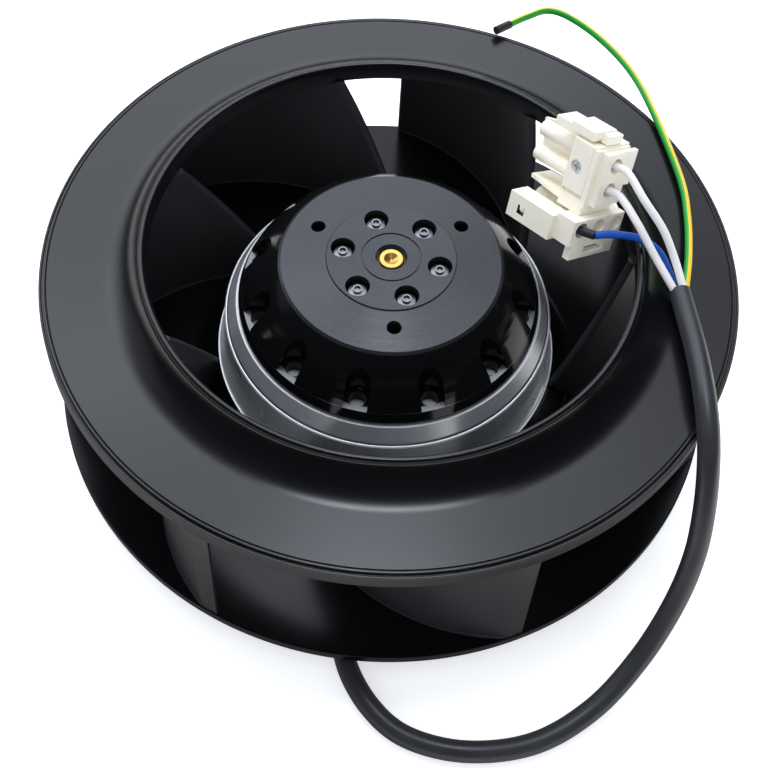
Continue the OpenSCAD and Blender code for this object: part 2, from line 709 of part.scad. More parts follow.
module bearing_cage(z) {
    color("tan") difference() {
        translate([0, 0, z + bearing_w / 2])
            turned([[pitch_r - cage_half_t, -cage_low], [pitch_r + cage_half_t, -cage_low],
                    [pitch_r + cage_half_t, race_r + cage_web], [pitch_r - cage_half_t, race_r + cage_web]]);
        around(ball_n) translate([pitch_r, 0, z + bearing_w / 2]) sphere(d = ball_d + 2 * fit);
    }
}

// Stationary motor

module stator_flange() {
    bore_r = bearing_r + fit;
    step_r = bearing_r - 1.4;
    shoulder_z = bearing_lower_z + bearing_w + fit;
    seat_z = bearing_upper_z - washer_t - 2 * fit;
    color("silver") difference() {
        turned([[bore_r, 0], [boss_d / 2 - flange_bevel, 0], [boss_d / 2, flange_bevel], [boss_d / 2, boss_h],
                [flange_d / 2 - flange_bevel, boss_h], [flange_d / 2, boss_h + flange_bevel],
                [flange_d / 2, flange_z1], [tube_r, flange_z1], [tube_r, tube_z1], [bore_r, tube_z1],
                [bore_r, seat_z], [step_r, seat_z], [step_r, shoulder_z], [bore_r, shoulder_z]]);
        around(bolt_n, bolt_phase) translate([bolt_circle_d / 2, 0, -cut])
            cylinder(d = bolt_hole_d, h = bolt_hole_h + cut);
    }
}

module preload_washer() {
    out_r = bearing_r - 0.1;
    in_r = out_r - 1.2;
    color("slategray") translate([0, 0, bearing_upper_z - washer_t - fit])
        turned([[in_r, 0], [out_r, 0], [out_r, washer_t], [in_r, washer_t]]);
}

module dust_cap() {
    rim_z = 0.6;
    dish_z = 1.6;
    foot_r = bearing_r - 2;
    dish_r = bearing_r - 3;
    color("lightsteelblue")
        turned([[0, dish_z], [dish_r, dish_z], [foot_r, rim_z], [bearing_r, rim_z],
                [bearing_r, rim_z + dust_cap_t], [foot_r + 0.4, rim_z + dust_cap_t],
                [dish_r + 0.4, dish_z + dust_cap_t], [0, dish_z + dust_cap_t]]);
}

// The slots of the stator, widened by grow
module slots(z0, z1, grow) {
    around(slot_n) translate([slot_r0 - grow, -slot_w / 2 - grow, z0])
        cube([slot_r1 - slot_r0 + 2 * grow, slot_w + 2 * grow, z1 - z0]);
}

module stator_core() {
    color("slategray") translate([0, 0, stator_z]) difference() {
        turned([[tube_r + fit, 0], [stator_r, 0], [stator_r, stator_h], [tube_r + fit, stator_h]]);
        slots(-cut, stator_h + cut, 0);
        around(slot_n) translate([slot_r1 - cut, -slot_mouth_w / 2, -cut])
            cube([stator_r - slot_r1 + 2 * cut, slot_mouth_w, stator_h + 2 * cut]);
    }
}

// An end insulator that lies on the core at z and turns its collar towards side, 1 up or -1 down
module end_insulator(z, side) {
    collar_end = side > 0 ? insulator_t + winding_h - 1 : 1 - winding_h;
    collar_z0 = min(0, collar_end);
    collar_z1 = max(insulator_t, collar_end);
    bore_r = tube_r + fit;
    edge_r = slot_r1 + 2;
    wall_r = edge_r - 1;
    color("ivory") translate([0, 0, z]) difference() {
        union() {
            turned([[bore_r, 0], [edge_r, 0], [edge_r, insulator_t], [bore_r, insulator_t]]);
            turned([[wall_r, collar_z0], [edge_r, collar_z0], [edge_r, collar_z1], [wall_r, collar_z1]]);
        }
        slots(-cut, insulator_t + cut, 0);
    }
}

module windings() {
    upper_z = upper_insulator_z + insulator_t + fit;
    lower_z = lower_insulator_z - fit;
    inner_r = slot_r0 - 1;
    outer_r = slot_r1;
    bevel = 3;
    straight = 0.6;
    slot_gap = 0.3;
    color("peru") {
        slots(lower_z - winding_h / 2, upper_z + winding_h / 2, -slot_gap);
        for (end = [[upper_z, winding_h], [lower_z, -winding_h]]) translate([0, 0, end[0]])
            turned([[inner_r, 0], [outer_r, 0], [outer_r, straight * end[1]], [outer_r - bevel, end[1]],
                    [inner_r + bevel, end[1]], [inner_r, straight * end[1]]]);
    }
}

module cable_gland() {
    bore_r = cable_d / 2 + fit;
    color([0.12, 0.12, 0.13]) difference() {
        union() {
            translate([gland_x, gland_y1, gland_z]) rotate([90, 0, 0]) cylinder(r = gland_r, h = gland_l);
            translate([gland_x - gland_r, gland_y0, gland_z]) cube([2 * gland_r, gland_l, boss_h - gland_z]);
            translate([gland_x, gland_y0, gland_z]) rotate([90, 0, 0])
                cylinder(r1 = gland_r, r2 = bore_r + relief_tip_t, h = relief_l);
        }
        translate([gland_x, gland_y1 - gland_end_t, gland_z]) rotate([90, 0, 0])
            cylinder(r = bore_r, h = gland_l + relief_l);
    }
}

// Cable and wires

module supply_cable() { color([0.25, 0.25, 0.27]) cord(cable_route, cable_d, 12, 2); }
module white_wire_1() { color("white") cord(white_1_route, wire_d, 8, 1); }
module white_wire_2() { color("white") cord(white_2_route, wire_d, 8, 1); }
module blue_wire() { color("royalblue") cord(blue_route, wire_d, 8, 1); }
module blue_sleeve() { color([0.1, 0.1, 0.1]) cord(sleeve_route, sleeve_d, 8, 1); }
module earth_wire() { color("yellowgreen") cord(earth_route, earth_d, 8, 2); }
module earth_ferrule() { color([0.2, 0.2, 0.22]) cord(ferrule_route, ferrule_d, 8, 1); }

// Connectors

// The children placed and turned as the connector pair lies
module pair_pose() {
    translate(pair_place) rotate(pair_turn) children();
}

// A round bar along the pair's Y axis, from y0 to y1
module bar_y(x, z, d, y0, y1) {
    translate([x, y1, z]) rotate([90, 0, 0]) cylinder(d = d, h = y1 - y0);
}

// A box from one corner to the other
module block(corners) {
    translate(corners[0]) cube(corners[1] - corners[0]);
}

module connector_upper() {
    prong_y1 = prong_y + prong_l;
    prong_bore_d = prong_d - 2;
    screw_bore_d = terminal_screw_d + 0.4;
    screw_bore_h = 5;
    color("ivory") pair_pose() difference() {
        union() {
            for (corners = upper_blocks) block(corners);
            for (z = upper_poles) bar_y(prong_x, z, prong_d, prong_y - cut, prong_y1);
            translate([side_guide_x, 0, 0]) rotate([90, 0, 90]) linear_extrude(guide_t) polygon(side_guide);
            translate([0, 0, low_guide_z]) linear_extrude(guide_t) polygon(low_guide);
        }
        for (z = upper_poles) {
            bar_y(upper_pole_x, z, wire_hole_d, wire_face_y - cut, terminal_y + terminal_l);
            bar_y(prong_x, z, prong_bore_d, prong_y + prong_l / 2, prong_y1 + cut);
        }
        translate([-cut, 0, 0]) rotate([0, 90, 0]) cylinder(d = screw_bore_d, h = cut + screw_bore_h);
        block(upper_window);
    }
}

module connector_lower() {
    half = key_window / 2;
    key_depth = 4.4;
    key_bore_x = lower_poles[0] - 2.6;
    color("ivory") pair_pose() difference() {
        union() {
            for (corners = lower_blocks) block(corners);
            for (k = [1:2]) bar_y(lower_poles[k], socket_z, socket_d, lower_body[0][1], socket_y);
        }
        for (x = lower_poles)
            bar_y(x, lower_pole_z, wire_hole_d, wire_face_y - cut, terminal_y + terminal_l);
        for (x = [key_bore_x, lower_poles[1], lower_poles[2]])
            bar_y(x, socket_z, socket_bore_d, socket_y - 11, socket_y + cut);
        block([key_place - [key_depth, half, half], key_place + [key_depth, half, half]]);
        block(lower_slot);
    }
}

module terminal_screw() {
    slot = 0.7;
    slot_h = 1.2;
    slot_r = terminal_screw_d / 3;
    head_x = 0.5;
    head_h = 3;
    color("lightsteelblue") pair_pose() difference() {
        union() {
            translate([head_x, 0, 0]) rotate([0, 90, 0]) cylinder(d = terminal_screw_d, h = head_h);
            translate([head_h + 0.4, 0, 0]) rotate([0, 90, 0]) cylinder(d = terminal_screw_d - 1.4, h = 1.4);
        }
        block([[0, -slot_r, -slot / 2], [slot_h, slot_r, slot / 2]]);
        block([[0, -slot / 2, -slot_r], [slot_h, slot / 2, slot_r]]);
    }
}

module terminal_blocks() {
    d = wire_hole_d - 2 * fit;
    y0 = terminal_y + fit;
    y1 = terminal_y + terminal_l - fit;
    color("goldenrod") pair_pose() {
        for (z = upper_poles) bar_y(upper_pole_x, z, d, y0, y1);
        bar_y(lower_pole_x, lower_pole_z, d, y0, y1);
    }
}

inlet_shroud();
back_plate();
numbered_blade(1);  // blade_1
numbered_blade(2);  // blade_2
numbered_blade(3);  // blade_3
numbered_blade(4);  // blade_4
numbered_blade(5);  // blade_5
numbered_blade(6);  // blade_6
numbered_blade(7);  // blade_7
hub_ring();
rotor_cap();
rotor_core();
shaft_hub();
hub_rivets();
shaft();
shaft_plug();
retaining_ring();
bearing_inner(bearing_upper_z);  // upper_bearing_inner
bearing_outer(bearing_upper_z);  // upper_bearing_outer
bearing_balls(bearing_upper_z);  // upper_bearing_balls
bearing_cage(bearing_upper_z);  // upper_bearing_cage
bearing_inner(bearing_lower_z);  // lower_bearing_inner
bearing_outer(bearing_lower_z);  // lower_bearing_outer
bearing_balls(bearing_lower_z);  // lower_bearing_balls
bearing_cage(bearing_lower_z);  // lower_bearing_cage
stator_flange();
preload_washer();
dust_cap();
stator_core();
end_insulator(upper_insulator_z, 1);  // upper_insulator
end_insulator(lower_insulator_z, -1);  // lower_insulator
windings();
cable_gland();
supply_cable();
white_wire_1();
white_wire_2();
blue_wire();
blue_sleeve();
earth_wire();
earth_ferrule();
connector_upper();
connector_lower();
terminal_screw();
terminal_blocks();
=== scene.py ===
"""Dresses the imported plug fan: smooth turned shells, curved blades, cords, finishes, studio and camera.

Sizes are in millimetres in the fan's own frame. The origin is the centre of the mounting face and +Z points to the
air inlet. Every mesh is scaled to metres when it is made. Every piece stays at the origin, with its place in its mesh.
"""

import json
import logging
import math
from dataclasses import dataclass
from enum import Enum

import bmesh
import bpy
import numpy as np
from bpy.types import ID, Material, Node, NodeOutputs, NodeSocket, NodeTree, Object
from mathutils import Matrix, Vector

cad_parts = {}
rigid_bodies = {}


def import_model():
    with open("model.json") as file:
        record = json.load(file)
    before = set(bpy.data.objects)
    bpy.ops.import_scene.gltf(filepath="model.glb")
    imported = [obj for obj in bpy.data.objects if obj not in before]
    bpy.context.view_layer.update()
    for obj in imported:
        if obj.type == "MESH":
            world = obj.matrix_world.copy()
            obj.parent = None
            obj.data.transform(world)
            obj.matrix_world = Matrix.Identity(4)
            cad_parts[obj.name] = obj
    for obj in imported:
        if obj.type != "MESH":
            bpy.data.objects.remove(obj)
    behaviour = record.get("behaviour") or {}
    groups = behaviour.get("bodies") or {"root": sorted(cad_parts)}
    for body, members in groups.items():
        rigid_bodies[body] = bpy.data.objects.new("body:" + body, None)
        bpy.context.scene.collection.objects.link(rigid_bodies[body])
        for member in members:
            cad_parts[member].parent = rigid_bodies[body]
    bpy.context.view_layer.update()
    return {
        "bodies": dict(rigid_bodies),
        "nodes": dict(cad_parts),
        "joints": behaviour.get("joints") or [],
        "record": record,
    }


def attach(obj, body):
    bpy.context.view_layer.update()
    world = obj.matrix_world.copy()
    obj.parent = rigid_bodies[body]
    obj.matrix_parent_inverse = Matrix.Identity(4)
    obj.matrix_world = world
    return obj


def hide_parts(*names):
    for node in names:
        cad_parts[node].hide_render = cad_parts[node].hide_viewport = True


Triple = tuple[float, float, float]
Pair = tuple[float, float]

LOG = logging.getLogger("plug_fan")
MM = 0.001
TINY = 1e-12
DOUBLED_MM = 1e-5
LEG_SHARE = 0.4  # the most of an edge that a rounded corner takes
FLAT_REACH = 1.2  # where the point that keeps a flat's shading lies, in reaches of its corner
END_SHARE = 1e-3  # radius of a tube's closed end, as a share of the tube's
WELD_M = 1e-6
SLIVER_M = 1e-7
NOISE_RANGE = (0.3, 0.7)
GRAIN_SHARE = 0.3  # share of the mould grain's height on a turned face
COAT_ROUGHNESS = 0.12
CONNECTOR_EDGE = 0.3
WHITE = (1.0, 1.0, 1.0, 1.0)


class Body(str, Enum):
    """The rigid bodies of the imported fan."""

    STATOR = "stator"
    IMPELLER = "impeller"


class Zone(Enum):
    """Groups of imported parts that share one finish, by the names of their nodes."""

    ZINC = ("hub_ring", "dust_cap", "terminal_screw")
    CORE = ("rotor_core", "stator_core")
    DARK_STEEL = ("hub_rivets", "retaining_ring")
    BRASS = ("shaft_plug", "terminal_blocks")
    BRIGHT_STEEL = (
        "shaft", "shaft_hub", "preload_washer",
        *(f"{end}_bearing_{part}" for end in ("upper", "lower") for part in ("inner", "outer", "balls")),
    )
    ALUMINIUM = ("stator_flange",)
    IVORY = ("connector_upper", "connector_lower", "upper_insulator", "lower_insulator")
    COPPER = ("windings",)
    RUBBER = ("cable_gland",)
    CAGE = ("upper_bearing_cage", "lower_bearing_cage")


# Meshes worked out as whole arrays


def unit(vectors: np.ndarray) -> np.ndarray:
    """Vectors scaled to length one along their last axis."""
    return vectors / np.maximum(np.linalg.norm(vectors, axis=-1, keepdims=True), TINY)


def about(axis: int, degrees: float) -> np.ndarray:
    """The turn about X, Y or Z, numbered from 0."""
    c, s = math.cos(math.radians(degrees)), math.sin(math.radians(degrees))
    made, j, k = np.eye(3), (axis + 1) % 3, (axis + 2) % 3
    made[j, j], made[j, k], made[k, j], made[k, k] = c, -s, s, c
    return made


def rounded_profile(points: np.ndarray, radii: np.ndarray, steps: int = 5) -> np.ndarray:
    """Rounds the corners of a closed outline.

    A corner C with legs towards A and B becomes the curve (1-t)^2 S + 2t(1-t) C + t^2 E, where S and E lie on the two
    legs at the corner's radius. One more point on each leg keeps the shading of the flat beside it.

    Args:
        points: Outline of radius and height, one row a corner.
        radii: How far each corner's curve reaches along its legs; 0 keeps the corner.
        steps: Stretches in each curve.

    Returns:
        The rounded outline, without doubled points.
    """
    before, after = np.roll(points, 1, axis=0) - points, np.roll(points, -1, axis=0) - points
    reach_in = np.minimum(radii, LEG_SHARE * np.linalg.norm(before, axis=1))[:, None]
    reach_out = np.minimum(radii, LEG_SHARE * np.linalg.norm(after, axis=1))[:, None]
    start, end = points + unit(before) * reach_in, points + unit(after) * reach_out
    lead, tail = points + unit(before) * reach_in * FLAT_REACH, points + unit(after) * reach_out * FLAT_REACH
    t = np.linspace(0.0, 1.0, steps + 1)[None, :, None]
    arc = (1 - t) ** 2 * start[:, None] + 2 * t * (1 - t) * points[:, None] + t**2 * end[:, None]
    loop = np.concatenate([lead[:, None], arc, tail[:, None]], axis=1).reshape(-1, 2)
    return loop[np.linalg.norm(loop - np.roll(loop, 1, axis=0), axis=1) > DOUBLED_MM]


def ring_faces(rows: int, columns: int) -> np.ndarray:
    """Quads of a grid that closes on itself both ways, numbered row by row."""
    i, j = np.meshgrid(np.arange(rows), np.arange(columns), indexing="ij")
    k, m = (i + 1) % rows, (j + 1) % columns
    return np.stack([i * columns + j, k * columns + j, k * columns + m, i * columns + m], axis=-1).reshape(-1, 4)


def sleeve_faces(rows: int, columns: int) -> np.ndarray:
    """Quads of a grid that closes on itself along its columns only."""
    return ring_faces(rows, columns)[: (rows - 1) * columns]


def turned_shell(outline: np.ndarray, segments: int) -> tuple[np.ndarray, np.ndarray]:
    """Turns a closed outline once round the Z axis.

    A point (r, z) at the angle a goes to (r cos a, r sin a, z).

    Args:
        outline: Closed outline of radius and height, clear of the axis.
        segments: Stretches of the turn.

    Returns:
        Vertices and quads, with the faces outwards.
    """
    r, z = outline[:, 0], outline[:, 1]
    area = np.sum(r * np.roll(z, -1) - np.roll(r, -1) * z)
    loop = outline if area > 0 else outline[::-1]
    a = np.linspace(0.0, 2 * np.pi, segments, endpoint=False)[:, None]
    r, z = loop[None, :, 0], loop[None, :, 1]
    grid = np.stack([r * np.cos(a), r * np.sin(a), np.broadcast_to(z, (segments, len(loop)))], axis=-1)
    return grid.reshape(-1, 3), ring_faces(segments, len(loop))


def smooth_route(route: np.ndarray, steps: int) -> np.ndarray:
    """A smooth curve through all points of a route.

    Between P1 and P2 it is half of 2 P1 + (P2-P0) t + (2 P0-5 P1+4 P2-P3) t^2 + (3 P1-P0-3 P2+P3) t^3.

    Args:
        route: Points in order.
        steps: Points in each stretch.

    Returns:
        The points of the curve.
    """
    p = np.concatenate([route[:1], route, route[-1:]])
    p0, p1, p2, p3 = (p[i : len(p) - 3 + i, None] for i in range(4))
    t = np.linspace(0.0, 1.0, steps, endpoint=False)[None, :, None]
    curve = 0.5 * (
        2 * p1 + (p2 - p0) * t + (2 * p0 - 5 * p1 + 4 * p2 - p3) * t**2 + (3 * p1 - p0 - 3 * p2 + p3) * t**3
    )
    return np.concatenate([curve.reshape(-1, 3), route[-1:]])


def tube(path: np.ndarray, radii: np.ndarray, sides: int) -> tuple[np.ndarray, np.ndarray, np.ndarray]:
    """A closed tube round a path, with a circle of the given radius at each point.

    The point at the angle a of a circle is P + R (u cos a + v sin a), where u is the upward direction square to the
    path and v is square to both. A small cone closes each end.

    Args:
        path: Points of the middle line.
        radii: Radius at each point.
        sides: Points in a circle.

    Returns:
        Vertices, quads, and the angle of each vertex in turns from the upward direction.
    """
    path = np.concatenate([path[:1], path, path[-1:]])
    radii = np.concatenate([[radii[0] * END_SHARE], radii, [radii[-1] * END_SHARE]])
    heads = unit(np.gradient(path, axis=0))
    up = np.array([0.0, 0.0, 1.0])
    u = unit(up - heads * (heads @ up)[:, None])
    v = np.cross(heads, u)
    turn = np.arange(sides) / sides
    a = 2 * np.pi * turn[None, :, None]
    grid = path[:, None] + radii[:, None, None] * (u[:, None] * np.cos(a) + v[:, None] * np.sin(a))
    return grid.reshape(-1, 3), sleeve_faces(len(path), sides)[:, ::-1], np.tile(turn, len(path))


def placed(name: str, data: ID) -> Object:
    """A new object in the scene, at the origin."""
    made = bpy.data.objects.new(name, data)
    bpy.context.scene.collection.objects.link(made)
    return made


def make_piece(name: str, vertices: np.ndarray, faces: np.ndarray, sharp_deg: float = 40.0) -> Object:
    """Makes a smooth-shaded mesh object from millimetres.

    Args:
        name: Name of the piece.
        vertices: Points in millimetres.
        faces: Corner numbers, one row a face.
        sharp_deg: Edges that bend more than this stay sharp.

    Returns:
        The linked object.
    """
    mesh = bpy.data.meshes.new(name)
    mesh.from_pydata((vertices * MM).tolist(), [], faces.tolist())
    mesh.validate()
    mesh.shade_smooth()
    mesh.set_sharp_from_angle(angle=math.radians(sharp_deg))
    return placed(name, mesh)


# Shader helpers


class Graph:
    """A node tree with short calls for the nodes that the finishes use."""

    def __init__(self, tree: NodeTree, groups: "SharedGroups | None" = None) -> None:
        """Keeps the tree, its surface shader if it has one, and the shared groups if it uses them."""
        self.tree, self.groups = tree, groups
        self.shader = tree.nodes.get("Principled BSDF")

    def node(self, kind: str, values: dict | None = None, **settings: object) -> Node:
        """Adds a node.

        Args:
            kind: Blender's node type.
            values: Input name or number to a plain value or to an output socket.
            settings: Properties of the node.

        Returns:
            The new node.
        """
        made = self.tree.nodes.new(kind)
        for key, value in settings.items():
            setattr(made, key, value)
        return self.feed(made, values or {})

    def feed(self, node: Node, values: dict) -> Node:
        """Links the output sockets and sets the plain values among a node's inputs.

        Args:
            node: The node.
            values: Input name or number to a plain value or to an output socket.

        Returns:
            The same node.
        """
        for key, value in values.items():
            if isinstance(value, NodeSocket):
                self.tree.links.new(value, node.inputs[key])
            else:
                node.inputs[key].default_value = value
        return node

    def math(self, operation: str, first: object, second: object = 0.0, clamp: bool = False) -> NodeSocket:
        """The output of a Math node."""
        return self.node("ShaderNodeMath", {0: first, 1: second}, operation=operation, use_clamp=clamp).outputs[0]

    def mix(self, share: object, first: object, second: object) -> NodeSocket:
        """The colour between two colours."""
        return self.node("ShaderNodeMix", {0: share, 6: first, 7: second}, data_type="RGBA").outputs[2]

    def blend(self, share: object, first: object, second: object) -> NodeSocket:
        """The value between two values."""
        return self.node("ShaderNodeMix", {0: share, 2: first, 3: second}, data_type="FLOAT").outputs[0]

    def remap(self, value: object, low: float, high: float, to_low: float, to_high: float) -> NodeSocket:
        """A value moved from one range to another, held inside it."""
        return self.node("ShaderNodeMapRange", {0: value, 1: low, 2: high, 3: to_low, 4: to_high}).outputs[0]

    def noise(self, vector: object, scale: object, detail: float = 2.0) -> NodeSocket:
        """The value of a noise texture."""
        return self.node("ShaderNodeTexNoise", {"Vector": vector, "Scale": scale, "Detail": detail}).outputs[0]

    def vector(self, operation: str, values: dict) -> NodeSocket:
        """The output of a Vector Math node: a number for a length or a product, else a vector."""
        outputs = self.node("ShaderNodeVectorMath", values, operation=operation).outputs
        return outputs["Value" if operation in ("LENGTH", "DOT_PRODUCT") else "Vector"]

    def group(self, tree: NodeTree, values: dict) -> NodeOutputs:
        """The outputs of a shared group."""
        return self.node("ShaderNodeGroup", values, node_tree=tree).outputs

    def bump(self, height: object, distance_mm: float, **more: object) -> NodeSocket:
        """The normal from a height; the normal below it may be given as Normal."""
        values = {"Height": height, "Distance": distance_mm * MM, "Strength": 1.0, **more}
        return self.node("ShaderNodeBump", values).outputs[0]

    def place(self) -> NodeSocket:
        """Object coordinates."""
        return self.node("ShaderNodeTexCoord").outputs["Object"]


def rgba(colour: Triple) -> tuple[float, float, float, float]:
    """A colour with full alpha."""
    return (*colour, 1.0)


class SharedGroups:
    """The shader node groups that several finishes use."""

    def __init__(self) -> None:
        """Builds each group once."""
        self.grain = self._grain()
        self.turning = self._turning()
        self.band = self._band()

    @staticmethod
    def _start(name: str, inputs: dict[str, float], outputs: list[str]) -> tuple[Graph, Node, Node]:
        """A new group with float sockets.

        Args:
            name: Name of the group.
            inputs: Input names and their defaults; a Vector input comes first in each group.
            outputs: Output names.

        Returns:
            The graph, the group's input node and its output node.
        """
        tree = bpy.data.node_groups.new(name, "ShaderNodeTree")
        tree.interface.new_socket("Vector", in_out="INPUT", socket_type="NodeSocketVector")
        for key, value in inputs.items():
            tree.interface.new_socket(key, in_out="INPUT", socket_type="NodeSocketFloat").default_value = value
        for key in outputs:
            tree.interface.new_socket(key, in_out="OUTPUT", socket_type="NodeSocketFloat")
        graph = Graph(tree)
        return graph, graph.node("NodeGroupInput"), graph.node("NodeGroupOutput")

    def _grain(self) -> NodeTree:
        """Fine mould grain as a height, and broad mottling from -1 to 1.

        Returns:
            The group's tree.
        """
        g, gin, gout = self._start("mould_grain", {"Fine": 2600.0, "Broad": 26.0}, ["Height", "Mottle"])
        fine = g.noise(gin.outputs["Vector"], gin.outputs["Fine"], 3.0)
        broad = g.noise(gin.outputs["Vector"], gin.outputs["Broad"], 4.0)
        g.feed(gout, {"Height": fine, "Mottle": g.remap(broad, *NOISE_RANGE, -1.0, 1.0)})
        return g.tree

    def _turning(self) -> NodeTree:
        """Concentric tool marks about the Z axis: their height, the radius and the height above the floor in mm.

        Returns:
            The group's tree.
        """
        g, gin, gout = self._start("turning_marks", {"Lines": 9.0}, ["Height", "Radius", "Level"])
        part = g.node("ShaderNodeSeparateXYZ", {0: gin.outputs["Vector"]})
        square = g.math("ADD", g.math("POWER", part.outputs[0], 2.0), g.math("POWER", part.outputs[1], 2.0))
        radius = g.math("MULTIPLY", g.math("SQRT", square), 1 / MM)
        level = g.math("MULTIPLY", part.outputs[2], 1 / MM)
        rings = g.node("ShaderNodeCombineXYZ", {0: radius, 1: g.math("MULTIPLY", level, 0.2)}).outputs[0]
        fine = {"Vector": rings, "Scale": gin.outputs["Lines"], "Detail": 2.0}
        marks = g.node("ShaderNodeTexNoise", fine, noise_dimensions="2D").outputs[0]
        g.feed(gout, {"Height": marks, "Radius": radius, "Level": level})
        return g.tree

    def _band(self) -> NodeTree:
        """One where Value lies between Low and High, falling to nought over Soft.

        Returns:
            The group's tree.
        """
        g, gin, gout = self._start("band", {"Value": 0.0, "Low": 0.0, "High": 1.0, "Soft": 0.05}, ["Mask"])
        value, soft = gin.outputs["Value"], gin.outputs["Soft"]
        rise = g.math("DIVIDE", g.math("SUBTRACT", value, gin.outputs["Low"]), soft, True)
        fall = g.math("DIVIDE", g.math("SUBTRACT", gin.outputs["High"], value), soft, True)
        g.feed(gout, {"Mask": g.math("MULTIPLY", rise, fall)})
        return g.tree


class Surface:
    """A named material, whose shader each kind of finish feeds in its own way."""

    name: str

    def material(self, groups: SharedGroups) -> Material:
        """Builds the material.

        Args:
            groups: The shared node groups.

        Returns:
            The material.
        """
        made = bpy.data.materials.new(self.name)
        made.use_nodes = True
        self.dress(Graph(made.node_tree, groups))
        return made

    def dress(self, g: Graph) -> None:
        """Feeds the shader.

        Args:
            g: The material's graph.
        """
        raise NotImplementedError


@dataclass(frozen=True)
class Finish(Surface):
    """A moulded, painted, cast or drawn surface with grain, mottling and bump."""

    name: str
    colour: Triple
    roughness: float
    metallic: float
    tone_spread: float
    rough_spread: float
    fine: float
    broad: float
    bump_mm: float
    lines: float = 0.0
    gloss: float = 0.5
    coat: float = 0.0

    def dress(self, g: Graph) -> None:
        """Feeds mottled colour and roughness and the grain's bump, with tool marks where the surface is turned.

        Args:
            g: The material's graph.
        """
        place = g.place()
        grain = g.group(g.groups.grain, {"Vector": place, "Fine": self.fine, "Broad": self.broad})
        mottle, height = grain["Mottle"], grain["Height"]
        if self.lines > 0:
            marks = g.group(g.groups.turning, {"Vector": place, "Lines": self.lines})["Height"]
            height = g.math("ADD", g.math("MULTIPLY", height, GRAIN_SHARE), marks)
        dark = tuple(c * (1 - self.tone_spread) for c in self.colour)
        light = tuple(min(1.0, c * (1 + self.tone_spread)) for c in self.colour)
        share = g.remap(mottle, -1.0, 1.0, 0.0, 1.0)
        rough = (self.roughness - self.rough_spread, self.roughness + self.rough_spread)
        values = {
            "Base Color": g.mix(share, rgba(dark), rgba(light)),
            "Roughness": g.remap(mottle, -1.0, 1.0, *rough),
            "Normal": g.bump(height, self.bump_mm),
            "Metallic": self.metallic,
            "Coat Weight": self.coat,
            "Coat Roughness": COAT_ROUGHNESS,
            "Specular IOR Level": self.gloss,
        }
        g.feed(g.shader, values)


@dataclass(frozen=True)
class ShadedWindowFinish(Finish):
    """A plastic with painted shade inside one deep window, given as a box in the axes of the piece."""

    middle: Triple = (0.0, 0.0, 0.0)
    half: Triple = (1.0, 1.0, 1.0)
    axes: tuple[Triple, ...] = ((1.0, 0.0, 0.0), (0.0, 1.0, 0.0), (0.0, 0.0, 1.0))
    shade: float = 0.01

    def dress(self, g: Graph) -> None:
        """Feeds the shader as the plain finish does, then paints the box dark as painted shade.

        Args:
            g: The material's graph.
        """
        super().dress(g)
        plain = g.shader.inputs["Base Color"].links[0].from_socket
        from_middle = g.vector("SUBTRACT", {0: g.place(), 1: tuple(m * MM for m in self.middle)})
        inside: object = 1.0
        for axis, half in zip(self.axes, self.half):
            along = g.vector("DOT_PRODUCT", {0: from_middle, 1: axis})
            inside = g.math("MULTIPLY", inside, g.math("LESS_THAN", g.math("ABSOLUTE", along), half * MM))
        # Painted shade: the colour inside the window's box is darkened to stand in for the shade in the deep recess.
        g.feed(g.shader, {"Base Color": g.mix(inside, plain, rgba((self.shade,) * 3))})


